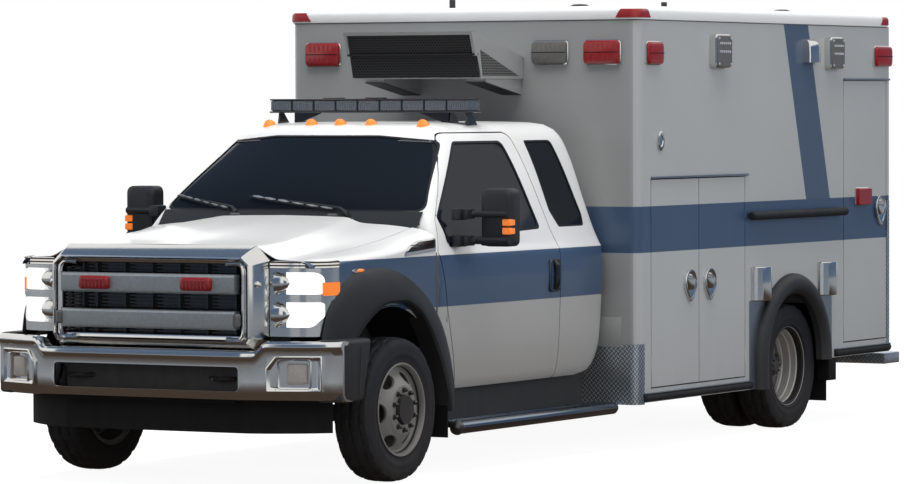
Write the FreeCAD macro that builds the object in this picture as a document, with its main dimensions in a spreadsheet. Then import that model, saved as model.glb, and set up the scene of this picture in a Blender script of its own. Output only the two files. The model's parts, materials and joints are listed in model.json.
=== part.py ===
import FreeCAD, Part
import math
import os

import Sketcher
from FreeCAD import Placement, Rotation, Vector

# Ambulance: a box-bodied patient module behind an extended truck cab.
# Millimetres, +Z up, the front faces -Y, the driver's side is +X, the floor is Z = 0.
# Lengths along the vehicle are written from the front axle, positive to the rear;
# every sub-part is then moved forward by the same amount, so that the origin is the middle.

DIMENSIONS = {
    # whole vehicle
    "wheelbase": 4857,
    "front_reach": 990,
    "step_depth": 252,
    # wheels
    "tyre_radius": 405,
    "tyre_width": 226,
    "rim_radius": 260,
    "rim_wall": 14,
    "hub_bore": 85,
    "front_wheel_x": 965,
    "rear_wheel_x": 1070,
    "dual_spacing": 270,
    "kingpin_x": 850,
    "axle_tube": 62,
    # chassis
    "rail_x": 432,
    "rail_top": 745,
    "rail_depth": 230,
    "rail_flange": 80,
    "rail_wall": 9,
    "spring_x": 520,
    "spring_width": 70,
    "spring_reach": 640,
    # patient module
    "module_half": 1222,
    "cab_gap": 37,
    "rear_overhang": 1472,
    "module_top": 2616,
    "module_wall": 40,
    "module_corner": 60,
    "sill_height": 45,
    "floor_thick": 50,
    "roof_thick": 46,
    "cap_height": 84,
    "cap_lip": 8,
    "skirt_front_low": 290,
    "skirt_rear_low": 431,
    "locker_depth": 500,
    "locker_wall": 25,
    "locker_edge": 168,
    "locker_length": 1322,
    "locker_low": 372,
    "locker_height": 1278,
    "tall_edge": 44,
    "tall_length": 696,
    "tall_low": 520,
    "tall_drop": 356,
    "entry_length": 760,
    "door_drop": 286,
    "rear_door_half": 620,
    "well_x": 640,
    "well_top": 990,
    "well_half": 520,
    "arch_shift": 30,
    "arch_radius": 490,
    "leaf": 36,
    "shut_gap": 8,
    "knuckle_radius": 7,
    "knuckle_length": 60,
    "knuckle_play": 0.3,
    # cab
    "cab_half": 1015,
    "cab_wall": 50,
    "cab_low": 480,
    "cab_rear": 2570,
    "belt": 1248,
    "glass_low": 1372,
    "glass_top": 1883,
    "roof": 1992,
    "firewall": 610,
    "screen_low": 1472,
    "screen_foot": 547,
    "screen_head": 960,
    "cab_floor": 800,
    "sill_x": 905,
    "glass_thick": 6,
    # front end
    "nose": 780,
    "hood_front_top": 1338,
    "hood_rear_top": 1468,
    "hood_wall": 24,
    "hood_side": 850,
    "fender_x": 1002,
    "flare_x": 1100,
    "front_arch": 590,
    "grille_half": 702,
    "grille_top": 1335,
    "grille_low": 745,
    "grille_depth": 95,
    "bar_height": 106,
    "bumper_half": 1120,
    "bumper_top": 820,
    "bumper_low": 490,
    "bumper_end": 745,
    "lamp_inner": 706,
    "lamp_low": 842,
    "board_x": 1100,
    "board_low": 225,
    "board_high": 300,
    # outside fittings
    "mirror_out": 1312,
    "lightbar_half": 690,
    "lightbar_low": 2056,
    "lightbar_high": 2140,
    "step_low": 342,
    "step_high": 416,
    "rail_stand": 32,
}

# Sizes that follow from the ones above.
FOLLOWING = {
    "module_rear": "wheelbase + rear_overhang",
    "rear_reach": "module_rear + step_depth",
    "module_front": "cab_rear + cab_gap",
    "floor_low": "rail_top + sill_height",
    "floor_top": "floor_low + floor_thick",
    "ceiling": "module_top - roof_thick",
    "skirt_front_end": "wheelbase - arch_shift - arch_radius - 145",
    "skirt_rear_start": "wheelbase - arch_shift + arch_radius + 92",
    "locker_front": "module_front + locker_edge",
    "locker_rear": "locker_front + locker_length",
    "locker_top": "locker_low + locker_height",
    "entry_rear": "locker_front + entry_length",
    "entry_top": "module_top - door_drop",
    "rear_door_top": "module_top - door_drop",
    "tall_rear": "module_rear - tall_edge",
    "tall_front": "tall_rear - tall_length",
    "tall_top": "module_top - tall_drop",
}

doc = FreeCAD.newDocument("Ambulance")
sheet = doc.addObject("Spreadsheet::Sheet", "Dimensions")
CELLS = [*DIMENSIONS.items(), *((alias, "=" + formula) for alias, formula in FOLLOWING.items())]
for row, (alias, content) in enumerate(CELLS, start=1):
    sheet.set("A%d" % row, "'" + alias.replace("_", " "))
    sheet.set("B%d" % row, str(content))
    sheet.setAlias("B%d" % row, alias)
doc.recompute()


class Size:
    """A length held as a number and as the expression that gives it from the sheet."""

    def __init__(self, number, words):
        self.number = float(number)
        self.words = words

    def __float__(self):
        return self.number

    def __add__(self, other):
        return Size(self.number + float(other), "(%s + %s)" % (self.words, words(other)))

    def __radd__(self, other):
        return sized(other) + self

    def __sub__(self, other):
        return Size(self.number - float(other), "(%s - %s)" % (self.words, words(other)))

    def __rsub__(self, other):
        return sized(other) - self

    def __mul__(self, other):
        return Size(self.number * float(other), "(%s * %s)" % (self.words, words(other)))

    def __rmul__(self, other):
        return sized(other) * self

    def __truediv__(self, other):
        return Size(self.number / float(other), "(%s / %s)" % (self.words, words(other)))

    def __neg__(self):
        return Size(-self.number, "(0 - %s)" % self.words)


def words(value):
    return value.words if isinstance(value, Size) else "(%.5f)" % value


def sized(value):
    return value if isinstance(value, Size) else Size(value, words(value))


class Sheet:
    """The dimensions, each as an attribute with its alias as the name."""

    def __getattr__(self, alias):
        return Size(sheet.get(alias), "Dimensions." + alias)


d = Sheet()
MIDDLE = (d.rear_reach - d.front_reach) / 2
ACROSS = Vector(1, 0, 0)


def new(kind, name):
    return doc.addObject(kind, name)


def place(obj, x, y, z, turn=None):
    if turn is not None:
        obj.Placement = Placement(Vector(), turn)
    for axis, value in zip("xyz", (x, y, z)):
        obj.setExpression("Placement.Base." + axis, words(value))
    return obj


def box(name, x, y, z):
    """A block from (low, high) pairs."""
    obj = new("Part::Box", name)
    for prop, (low, high) in zip(("Length", "Width", "Height"), (x, y, z)):
        obj.setExpression(prop, words(high - low))
    return place(obj, x[0], y[0], z[0])


def rod(name, axis, radius, span, first, second, sides=0):
    """A cylinder along one axis over span, its other two coordinates in x, y, z order.

    With sides it is a bar of that many flats, for pipes and bars that are out of sight.
    """
    obj = new("Part::Prism" if sides else "Part::Cylinder", name)
    if sides:
        obj.Polygon = sides
    obj.setExpression("Circumradius" if sides else "Radius", words(radius))
    obj.setExpression("Height", words(span[1] - span[0]))
    if axis == "x":
        return place(obj, span[0], first, second, Rotation(Vector(0, 1, 0), 90))
    if axis == "y":
        return place(obj, first, span[0], second, Rotation(Vector(1, 0, 0), -90))
    return place(obj, first, second, span[0])


def arc_between(start, end, bulge):
    """A sketch arc whose middle stands out by bulge, to the right of the way from start to end."""
    chord = end - start
    length = chord.Length
    reach = abs(bulge)
    radius = (length * length / 4 + reach * reach) / (2 * reach)
    right = Vector(chord.y, -chord.x, 0) / length * (1 if bulge > 0 else -1)
    centre = (start + end) / 2 + right * (reach - radius)
    first, last = (start, end) if bulge > 0 else (end, start)
    angles = [math.atan2((p - centre).y, (p - centre).x) for p in (first, last)]
    return Part.ArcOfCircle(Part.Circle(centre, Vector(0, 0, 1), radius), angles[0], angles[1])


def outline(body, plane, points, lift=None):
    """A closed sketch through points; a third value in a point is the bulge of the arc to it."""
    planes = {feature.Role: feature for feature in body.Origin.OriginFeatures}
    sketch = body.newObject("Sketcher::SketchObject", body.Name + "_outline")
    sketch.AttachmentSupport = (planes[plane + "_Plane"], [""])
    sketch.MapMode = "FlatFace"
    if lift is not None:
        sketch.setExpression("AttachmentOffset.Base.z", words(lift))
    corners = [Vector(float(p[0]), float(p[1]), 0) for p in points]
    starts = []
    ends = []
    for i, point in enumerate(points):
        before = corners[i - 1]
        bulge = float(point[2]) if len(point) > 2 else 0
        if bulge:
            sketch.addGeometry(arc_between(before, corners[i], bulge), False)
        else:
            sketch.addGeometry(Part.LineSegment(before, corners[i]), False)
        starts.append(1 if bulge >= 0 else 2)
        ends.append(2 if bulge >= 0 else 1)
    for i in range(len(points)):
        after = (i + 1) % len(points)
        sketch.addConstraint(Sketcher.Constraint("Coincident", i, ends[i], after, starts[after]))
    for i, point in enumerate(points):
        for kind, value in (("DistanceX", point[0]), ("DistanceY", point[1])):
            index = sketch.addConstraint(
                Sketcher.Constraint(kind, -1, 1, i, ends[i], float(value)))
            sketch.setExpression("Constraints[%d]" % index, words(value))
        if len(point) > 2:
            run = point[0] - points[i - 1][0]
            rise = point[1] - points[i - 1][1]
            reach = point[2] if float(point[2]) > 0 else -point[2]
            radius = ((run * run + rise * rise) / 4 + reach * reach) / (2 * reach)
            index = sketch.addConstraint(Sketcher.Constraint("Radius", i, float(radius)))
            sketch.setExpression("Constraints[%d]" % index, words(radius))
    return sketch


def prism(name, plane, points, low, high):
    """A pad of the outline, from low to high along the axis that the plane leaves out."""
    body = new("PartDesign::Body", name)
    sketch = outline(body, plane, points, -high if plane == "XZ" else low)
    pad = body.newObject("PartDesign::Pad", name + "_pad")
    pad.Profile = sketch
    pad.setExpression("Length", words(high - low))
    return body


def facet(*corners):
    return Part.Face(Part.makePolygon(list(corners) + [corners[0]]))


def closed(name, faces):
    """The solid inside faces that meet all round."""
    shape = Part.makeSolid(Part.makeShell(faces))
    if shape.Volume < 0:
        shape.reverse()
    return solid(name, shape)


def turned(name, points, x, y, z, sides=36):
    """A closed profile of (along X, radius) turned about the X axis, in sides flat facets."""
    rings = []
    for along, radius in points:
        reach = float(radius) / math.cos(math.pi / sides)
        turns = [(k + 0.5) * 2 * math.pi / sides for k in range(sides)]
        rings.append([Vector(float(along), reach * math.sin(t), -reach * math.cos(t)) for t in turns])
    faces = []
    for ring, other in zip(rings, rings[1:] + rings[:1]):
        for k in range(sides):
            faces.append(facet(ring[k - 1], ring[k], other[k], other[k - 1]))
    return place(closed(name, faces), x, y, z)


def fuse(name, *parts):
    if len(parts) == 2:
        obj = new("Part::Fuse", name)
        obj.Base, obj.Tool = parts
        return obj
    obj = new("Part::MultiFuse", name)
    obj.Shapes = list(parts)
    return obj


def cut(name, base, *tools):
    obj = new("Part::Cut", name)
    obj.Base = base
    obj.Tool = tools[0] if len(tools) == 1 else fuse(name + "_tools", *tools)
    return obj


def common(name, base, tool):
    obj = new("Part::Common", name)
    obj.Base = base
    obj.Tool = tool
    return obj


def mirror(obj):
    other = new("Part::Mirroring", obj.Name + "_mirrored")
    other.Source = obj
    other.Normal = ACROSS
    return other


def both(*parts):
    """Each piece and its mirror image on the other side."""
    return list(parts) + [mirror(part) for part in parts]


def rounded(name, base, radius, chosen):
    """A fillet on the straight edges of the base that chosen picks by middle and direction."""
    doc.recompute()
    edges = []
    for number, edge in enumerate(base.Shape.Edges, start=1):
        if edge.Curve.TypeId != "Part::GeomLine":
            continue
        way = edge.tangentAt(edge.FirstParameter)
        if chosen(edge.CenterOfMass, way):
            edges.append((number, float(radius), float(radius)))
    obj = new("Part::Fillet", name)
    obj.Base = base
    obj.Edges = edges
    return obj


def solid(name, shape):
    obj = new("Part::Feature", name)
    obj.Shape = shape
    return obj


def loft(name, rings):
    """A skin of flat facets through rings of as many points, closed by its first and last ring."""
    faces = [facet(*rings[0]), facet(*rings[-1])]
    for ring, other in zip(rings, rings[1:]):
        for k in range(len(ring)):
            if ring[k - 1].x + ring[k].x > 0:
                halves = (ring[k - 1], ring[k], other[k]), (ring[k - 1], other[k], other[k - 1])
            else:
                halves = (ring[k - 1], ring[k], other[k - 1]), (ring[k], other[k], other[k - 1])
            faces += [facet(*half) for half in halves]
    return closed(name, faces)


NODES = []


def node(label, *parts):
    """One kept sub-part: its solids in the vehicle's frame, with the origin at mid length."""
    obj = new("Part::Compound", label)
    obj.Label = label
    obj.Links = list(parts)
    place(obj, 0, -MIDDLE, 0)
    NODES.append(obj)
    return obj


def upright_hinge(name, x, y, heights):
    """Knuckles on an upright axis: those of the frame below, those of the leaf above."""
    fixed = []
    moving = []
    half = d.knuckle_length
    for number, height in enumerate(heights):
        fixed.append(rod("%s_fixed_%d" % (name, number), "z", d.knuckle_radius,
                         (height - half, height - d.knuckle_play), x, y, 8))
        moving.append(rod("%s_moving_%d" % (name, number), "z", d.knuckle_radius,
                          (height, height + half), x, y))
    return fixed, moving


def hinge_room(name, x, y, heights, above):
    """The square pockets that one half of the hinge needs in the other half's panel."""
    half = d.knuckle_length
    side = d.knuckle_radius + d.knuckle_play * 3
    spans = [(height - d.knuckle_play / 2, height + half + d.knuckle_play) if above
             else (height - half - d.knuckle_play, height - d.knuckle_play / 2)
             for height in heights]
    return [box("%s_room_%d" % (name, number), (x - side, x + side), (y - side, y + side), span)
            for number, span in enumerate(spans)]


# Wheels: tyres on hub-piloted steel rims, one in front and two side by side behind.
# Profiles are (along X, radius) from the wheel's centre, outboard positive, for the left side.
bead = d.rim_radius - 14


def tyre(name, x, y):
    half = d.tyre_width / 2
    shoulder = d.tyre_radius - 14
    profile = [(half * 0.80, bead), (half, bead + 66), (half * 0.86, shoulder),
               (half * 0.74, d.tyre_radius), (-half * 0.74, d.tyre_radius),
               (-half * 0.86, shoulder), (-half, bead + 66), (-half * 0.80, bead)]
    return turned(name, profile, x, y, d.tyre_radius)


RIM_SIDES = 24
HAND_HOLE = [(-55, 0), (-34, -28), (34, -28), (55, 0), (34, 28), (-34, 28)]


def hand_hole(name, x, y, turn, reach):
    """A long hole through the rim's disc, reach out from the centre and turn round from the rear."""
    across, up = math.cos(turn), math.sin(turn)
    corners = [Vector(float(x) - 150, float(y) + (reach + out) * across - along * up,
                      float(d.tyre_radius) + (reach + out) * up + along * across)
               for along, out in HAND_HOLE]
    return solid(name, Part.Face(Part.makePolygon(corners + corners[:1])).extrude(ACROSS * 300))


def rim(name, x, y, face):
    """A barrel with a dished disc, whose face stands at face from the wheel's centre.

    The disc has a ring of hand holes on its slope and a round bore for the hub.
    """
    half = d.tyre_width / 2 * 0.80
    outer = (bead - 0.5) * math.cos(math.pi / RIM_SIDES)
    inner = outer - d.rim_wall
    root = face * 0.45
    slope = inner - 62
    bore = d.hub_bore
    profile = [(-half, inner), (-half, outer), (half, outer), (half, inner),
               (root + d.rim_wall, inner), (face, slope), (face, bore),
               (face - d.rim_wall, bore), (face - d.rim_wall, slope - 6), (root, inner)]
    holes = [hand_hole("%s_hole_%d" % (name, number), x, y, math.radians(4 + 60 * number),
                       float(slope) + 22) for number in range(6)]
    return cut(name, turned(name + "_ring", profile, x, y, d.tyre_radius, RIM_SIDES), *holes)


def kept_pair(label, *parts):
    node(label + "_left", *parts)
    node(label + "_right", *[mirror(part) for part in parts])


dual_inner_x = d.rear_wheel_x - d.dual_spacing
dual_plane = d.dual_spacing / 2
front_face = sized(105)
kept_pair("front_tyre", tyre("front_tyre", d.front_wheel_x, 0))
kept_pair("front_rim", rim("front_rim", d.front_wheel_x, 0, front_face))
kept_pair("rear_tyres", tyre("outer_tyre", d.rear_wheel_x, d.wheelbase),
          tyre("inner_tyre", dual_inner_x, d.wheelbase))
kept_pair("rear_rims", rim("outer_rim", d.rear_wheel_x, d.wheelbase, d.rim_wall - dual_plane),
          rim("inner_rim", dual_inner_x, d.wheelbase, dual_plane))

# Frame: two channel rails with crossmembers, spring hangers, and sills that carry the body.
rail_low = d.rail_top - d.rail_depth
beam_z = d.tyre_radius - 20
front_eye = rail_low - 30
rear_eye = rail_low - 20


def channel(name, x_out, y, z_low, z_high):
    """A rail with its web outboard at x_out and both flanges towards the middle."""
    flange_x = (x_out - d.rail_flange, x_out)
    web = box(name + "_web", (x_out - d.rail_wall, x_out), y, (z_low, z_high))
    low = box(name + "_flange_low", flange_x, y, (z_low, z_low + d.rail_wall))
    high = box(name + "_flange_high", flange_x, y, (z_high - d.rail_wall, z_high))
    return fuse(name, web, low, high)


def hanger(name, y, eye):
    """A bracket on the rail's side that ends at a spring's eye."""
    return box(name, (d.rail_x, d.spring_x + d.spring_width / 2), y, (eye - 8, eye + 120))


rail_front = sized(-680)
rail = channel("rail", d.rail_x, (rail_front, d.module_rear - 45), rail_low, d.rail_top)
crossmembers = []
for number, y in enumerate((sized(-600), d.cab_rear - 670, d.module_front + 493,
                            d.wheelbase - 800, d.wheelbase + 420, d.module_rear - 90)):
    crossmembers.append(rod("crossmember_%d" % number, "x", sized(36),
                            (4 - d.rail_x, d.rail_x - 4), y, rail_low + d.rail_depth / 2, 8))
hangers = [hanger("hanger_0", (-d.spring_reach - 60, -d.spring_reach), front_eye),
           hanger("hanger_1", (d.spring_reach, d.spring_reach + 60), front_eye),
           hanger("hanger_2", (d.wheelbase - d.spring_reach - 60, d.wheelbase - d.spring_reach),
                  rear_eye),
           hanger("hanger_3", (d.wheelbase + d.spring_reach, d.wheelbase + d.spring_reach + 60),
                  rear_eye)]
sills = []
sill_step = (d.module_rear - d.module_front - 422) / 6
for number in range(7):
    y = d.module_front + 200 + sill_step * number
    sills.append(box("sill_%d" % number, (-d.rail_x - 120, d.rail_x + 120), (y - 40, y + 40),
                     (d.rail_top, d.floor_low)))
cab_mounts = [box("cab_mount_%d" % number, (d.rail_x - 80, d.rail_x + 40), (y - 50, y + 50),
                  (d.rail_top, d.cab_floor - 40))
              for number, y in enumerate((d.firewall + 150, d.cab_rear - 270))]
node("frame", fuse("frame_body", rail, mirror(rail), *crossmembers, *sills,
                   *both(*hangers, *cab_mounts)))


def spring(name, y, seat, eye):
    """A leaf pack that sags from its two eyes to its seat on the axle."""
    sag = eye - seat
    points = [(y - d.spring_reach, eye), (y + d.spring_reach, eye, sag),
              (y + d.spring_reach, eye + 16), (y - d.spring_reach, eye + 16, 34 - sag)]
    half = d.spring_width / 2
    return prism(name, "YZ", points, d.spring_x - half, d.spring_x + half)


# Front axle: a dropped beam with a fork at each kingpin, and the knuckles that carry the hubs.
fork_x = (d.kingpin_x - 64, d.kingpin_x + 22)
fork = fuse("fork", box("fork_low", fork_x, (-28, 28), (beam_z - 55, beam_z - 25)),
            box("fork_high", fork_x, (-28, 28), (beam_z + 45, beam_z + 75)),
            box("fork_back", (fork_x[0], fork_x[0] + 20), (-28, 28), (beam_z - 55, beam_z + 75)))
beam = box("beam", (-d.kingpin_x + 60, d.kingpin_x - 60), (-38, 38), (beam_z - 55, beam_z + 35))
node("front_axle", fuse("front_axle_body", beam, *both(fork)),
     *both(spring("front_spring", sized(0), beam_z + 35, front_eye)))

hub_face = d.front_wheel_x - d.kingpin_x + front_face - d.rim_wall - d.knuckle_play
spindle = turned("spindle", [(-12, 6), (-12, 20), (48, 20), (48, 70), (hub_face - 20, 70),
                             (hub_face - 20, 148), (hub_face, 148), (hub_face, 6)],
                 d.kingpin_x, 0, d.tyre_radius, 16)
hub = rod("hub", "x", d.hub_bore - 5, (d.kingpin_x + hub_face - 10, d.kingpin_x + hub_face + 50),
          0, d.tyre_radius, 16)
kingpin = rod("kingpin", "z", sized(24), (beam_z - 25 + d.knuckle_play, beam_z + 45 - d.knuckle_play),
              d.kingpin_x, 0)
kept_pair("knuckle", fuse("knuckle_body", kingpin, spindle, hub))

# Rear axle: a live axle with its differential and pinion nose, hub flanges and leaf springs.
pinion_z = d.tyre_radius + 55
flange_x = d.rear_wheel_x - dual_plane - d.rim_wall - d.knuckle_play
differential = turned("differential", [(-170, 6), (-170, 80), (-70, 165), (70, 165), (170, 80),
                                       (170, 6)], 0, d.wheelbase, d.tyre_radius, 16)
rear_plate = turned("rear_plate", [(0, 6), (0, 148), (-25, 148), (-25, 70), (-70, 70), (-70, 6)],
                    flange_x, d.wheelbase, d.tyre_radius, 16)
rear_hub = rod("rear_hub", "x", d.hub_bore - 5, (flange_x - 10, flange_x + 70), d.wheelbase,
               d.tyre_radius, 16)
node("rear_axle",
     fuse("rear_axle_body", differential, *both(rear_plate, rear_hub),
          rod("axle_tube", "x", d.axle_tube, (-flange_x, flange_x), d.wheelbase, d.tyre_radius),
          rod("pinion_nose", "y", sized(58), (d.wheelbase - 330, d.wheelbase), 0, pinion_z, 12)),
     *both(spring("rear_spring", d.wheelbase, d.tyre_radius + d.axle_tube, rear_eye)))

# Engine and gearbox as one plain block on its two feet, with the shaft to the rear axle.
engine_foot = box("engine_foot", (300, d.rail_x - d.rail_wall), (-60, 60), (590, 640))
node("powertrain", fuse("powertrain_body",
                        box("engine_block", (-330, 330), (-420, 420), (430, 1130)),
                        box("gearbox", (-170, 170), (420, 1150), (410, 700)),
                        *both(engine_foot),
                        rod("propeller_shaft", "y", sized(45),
                            (1150, d.wheelbase - 330 - d.knuckle_play), 0, pinion_z, 10)))

# Exhaust on the right of the shaft, and the fuel tank between the rails behind the axle.
pipe_z = rail_low - 45
pipe_x = sized(-250)
tail_y = d.wheelbase - 743
node("exhaust", fuse("exhaust_body",
                     rod("front_pipe", "y", sized(36), (430, tail_y + 36), pipe_x, pipe_z, 10),
                     rod("muffler", "y", sized(95), (d.cab_rear - 420, d.cab_rear + 280),
                         pipe_x + 15, pipe_z - 10, 12),
                     rod("tail_pipe", "x", sized(36), (-d.module_half + 92, pipe_x), tail_y, pipe_z,
                         10),
                     rod("exhaust_hanger", "z", sized(9),
                         (pipe_z, rail_low + d.rail_depth / 2 - 36.3), pipe_x,
                         d.module_front + 493, 6)))
tank_x = d.rail_x - d.rail_flange
tank_z = (rail_low - 115, rail_low + 185)
node("fuel_tank", prism("fuel_tank_body", "XZ",
                        [(40 - tank_x, tank_z[0]), (tank_x - 40, tank_z[0]),
                         (tank_x, tank_z[0] + 40), (tank_x, tank_z[1] - 40),
                         (tank_x - 40, tank_z[1]), (40 - tank_x, tank_z[1]),
                         (-tank_x, tank_z[1] - 40), (-tank_x, tank_z[0] + 40)],
                        d.wheelbase + 520, d.module_rear - 200))

# Patient module: a hollow box body with skirts, lockers, wheel wells and a step well.
half = d.module_half
inner_half = half - d.module_wall
inner_front = d.module_front + d.module_wall
inner_rear = d.module_rear - d.module_wall
outer_box = box("module_block", (-half, half), (d.module_front, d.module_rear),
                (d.skirt_front_low, d.module_top))
outer_skin = rounded("module_rounded", outer_box, d.module_corner,
                     lambda middle, way: abs(way.z) > 0.9 and middle.y < float(d.module_front) + 1)
locker_x = (half - d.locker_depth, half)
wall = d.locker_wall
below = d.skirt_front_low - 1
arch_y = d.wheelbase - d.arch_shift
well_y = (d.wheelbase - d.well_half, d.wheelbase + d.well_half)
entry_y = (d.locker_front, d.entry_rear)
locker_span = ((d.locker_front, d.locker_rear), (d.locker_low, d.locker_top))
tall_span = ((d.tall_front, d.tall_rear), (d.tall_low, d.tall_top))


def grown(pair, by):
    return (pair[0] - by, pair[1] + by)


def locker_box(name, y, z):
    return box(name + "_box", (locker_x[0] - wall, inner_half + 1), grown(y, wall), grown(z, wall))


def locker_room(name, y, z):
    return box(name + "_room", (locker_x[0], half + 1), y, z)


module_hollow = cut(
    "module_hollow", outer_skin,
    box("rear_skirt_cut", (-half - 1, half + 1), (d.skirt_rear_start, d.module_rear + 1),
        (below, d.skirt_rear_low)),
    box("cabin_room", (-inner_half, inner_half), (inner_front, inner_rear),
        (d.floor_top, d.ceiling)),
    box("underside_room", (-inner_half, inner_half), (inner_front, inner_rear),
        (below, d.floor_low)),
    box("front_tunnel", (-half + 140, half - 140), (d.module_front - 1, inner_front + 1),
        (below, d.floor_low)),
    box("rear_tunnel", (-d.rail_x - 130, d.rail_x + 130), (inner_rear - 1, d.module_rear + 1),
        (below, d.floor_low - 90)))
well_box = box("well_box", (d.well_x, inner_half + 1), well_y, (d.floor_low, d.well_top + wall))
entry_box = box("entry_box", (-inner_half - 1, -half + d.locker_depth + wall),
                grown(entry_y, wall), (d.locker_low - wall, d.floor_top))
tall_box = locker_box("tall", *tall_span)
tall_room = locker_room("tall", *tall_span)
well_room = box("well_room", (d.well_x + wall, half + 1), grown(well_y, -wall), (below, d.well_top))
module_body = cut(
    "module_body",
    fuse("module_walls", module_hollow, locker_box("locker", *locker_span), entry_box,
         *both(tall_box, well_box)),
    locker_room("locker", *locker_span), *both(tall_room, well_room),
    box("entry_room", (-half - 1, -half + d.locker_depth), entry_y,
        (d.locker_low, d.floor_top + 1)),
    box("entry_opening", (-half - 1, -inner_half + 1), entry_y, (d.locker_low, d.entry_top)),
    box("rear_opening", (-d.rear_door_half, d.rear_door_half), (inner_rear - 1, d.module_rear + 1),
        (d.floor_low, d.rear_door_top)))

# Module doors: flat leaves, flush with the skin, on knuckles whose axis lies in the skin's plane.
gap = d.shut_gap
seam_y = (d.locker_front + d.locker_rear) / 2
front_axis = d.locker_front + gap / 2
rear_axis = d.locker_rear - gap / 2
tall_axis = d.tall_front + gap / 2
rear_axis_x = d.rear_door_half - gap / 2


def hinge_heights(z_low, z_high):
    return [z_low + 150, z_high - 210]


locker_heights = hinge_heights(d.locker_low, d.locker_top)
tall_heights = hinge_heights(d.tall_low, d.tall_top)
entry_heights = hinge_heights(d.locker_low, d.entry_top)
rear_heights = hinge_heights(d.floor_low, d.rear_door_top)


def leaf_handle(name, y, z):
    """The round flush handle of a leaf, which stands a little off it."""
    return rod(name, "x", sized(80), (half - 4, half + 14), y, z, 16)


def side_leaf(name, y, z, axis, heights):
    """A leaf on the left side with its knuckles, and the frame's knuckles and pockets."""
    panel = box(name + "_panel", (half - d.leaf, half), y, grown(z, -gap))
    fixed, moving = upright_hinge(name, half, axis, heights)
    leaf = fuse(name + "_leaf", cut(name + "_notched", panel,
                                    *hinge_room(name + "_low", half, axis, heights, False)), *moving)
    return leaf, fixed, hinge_room(name + "_high", half, axis, heights, True)


locker_leaf_front, fixed_front, room_front = side_leaf(
    "locker_front", (d.locker_front + gap, seam_y - gap / 2), locker_span[1], front_axis,
    locker_heights)
locker_leaf_rear, fixed_rear, room_rear = side_leaf(
    "locker_rear", (seam_y + gap / 2, d.locker_rear - gap), locker_span[1], rear_axis,
    locker_heights)
tall_leaf, fixed_tall, room_tall = side_leaf(
    "tall", grown(tall_span[0], -gap), tall_span[1], tall_axis, tall_heights)
tall_leaf = fuse("tall_leaf_lamped", tall_leaf, leaf_handle("tall_handle", d.tall_rear - 128, 1402),
                 box("tall_lamp", (half - 5, half + 30), (d.tall_front + 187, d.tall_front + 377),
                     (1436, 1532)))
entry_leaf, fixed_entry, room_entry = side_leaf(
    "entry", grown(entry_y, -gap), (d.locker_low, d.entry_top), front_axis, entry_heights)
entry_window = [(d.locker_front + 190, d.entry_rear - 190), (1440, d.entry_top - 190)]
pane_x = (half - d.leaf / 2 - d.glass_thick / 2, half - d.leaf / 2 + d.glass_thick / 2)
rear_panel = box("rear_panel", (gap / 2, d.rear_door_half - gap),
                 (d.module_rear - d.leaf, d.module_rear),
                 grown((d.floor_low, d.rear_door_top), -gap))
rear_window = [(150, d.rear_door_half - 150), (1440, d.rear_door_top - 160)]
fixed_back, moving_back = upright_hinge("rear_door", rear_axis_x, d.module_rear, rear_heights)
room_back = hinge_room("rear_door_high", rear_axis_x, d.module_rear, rear_heights, True)
rear_leaf = fuse("rear_leaf", cut(
    "rear_leaf_notched", rear_panel,
    box("rear_window_hole", rear_window[0], (d.module_rear - d.leaf - 1, d.module_rear + 1),
        rear_window[1]),
    *hinge_room("rear_door_low", rear_axis_x, d.module_rear, rear_heights, False)), *moving_back)
node("locker_door_front", fuse("locker_front_handled", locker_leaf_front,
                               leaf_handle("locker_front_handle", seam_y - 138, 999)))
node("locker_door_rear", fuse("locker_rear_handled", locker_leaf_rear,
                              leaf_handle("locker_rear_handle", seam_y + 138, 999)))
kept_pair("tall_door", tall_leaf)
entry_leaf = fuse("entry_handled", entry_leaf,
                  leaf_handle("entry_handle", d.entry_rear - 110, 1180))
node("entry_door", mirror(cut("entry_glazed", entry_leaf,
                              box("entry_window_hole", (half - d.leaf - 1, half + 1), *entry_window))))
node("entry_glass", mirror(box("entry_pane", pane_x, *entry_window)))
kept_pair("rear_door", rear_leaf)
kept_pair("rear_glass", box("rear_pane", rear_window[0],
                            (d.module_rear - d.leaf / 2 - d.glass_thick / 2,
                             d.module_rear - d.leaf / 2 + d.glass_thick / 2), rear_window[1]))

arch_span = (arch_y - d.arch_radius, arch_y + d.arch_radius)
node("module_shell", fuse("module_framed", cut(
    "module_cut", module_body,
    rod("arch_room", "x", d.arch_radius, (-half - 1, -d.well_x - wall), arch_y, d.tyre_radius),
    rod("arch_room", "x", d.arch_radius, (d.well_x + wall, half + 1), arch_y, d.tyre_radius),
    box("arch_foot", (-half - 1, -d.well_x - wall), arch_span, (below, d.tyre_radius)),
    box("arch_foot", (d.well_x + wall, half + 1), arch_span, (below, d.tyre_radius)),
    *room_front, *room_rear, *both(*room_tall, *room_back),
    *[mirror(part) for part in room_entry]),
    *fixed_front, *fixed_rear, *both(*fixed_tall, *fixed_back),
    *[mirror(part) for part in fixed_entry]))

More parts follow.
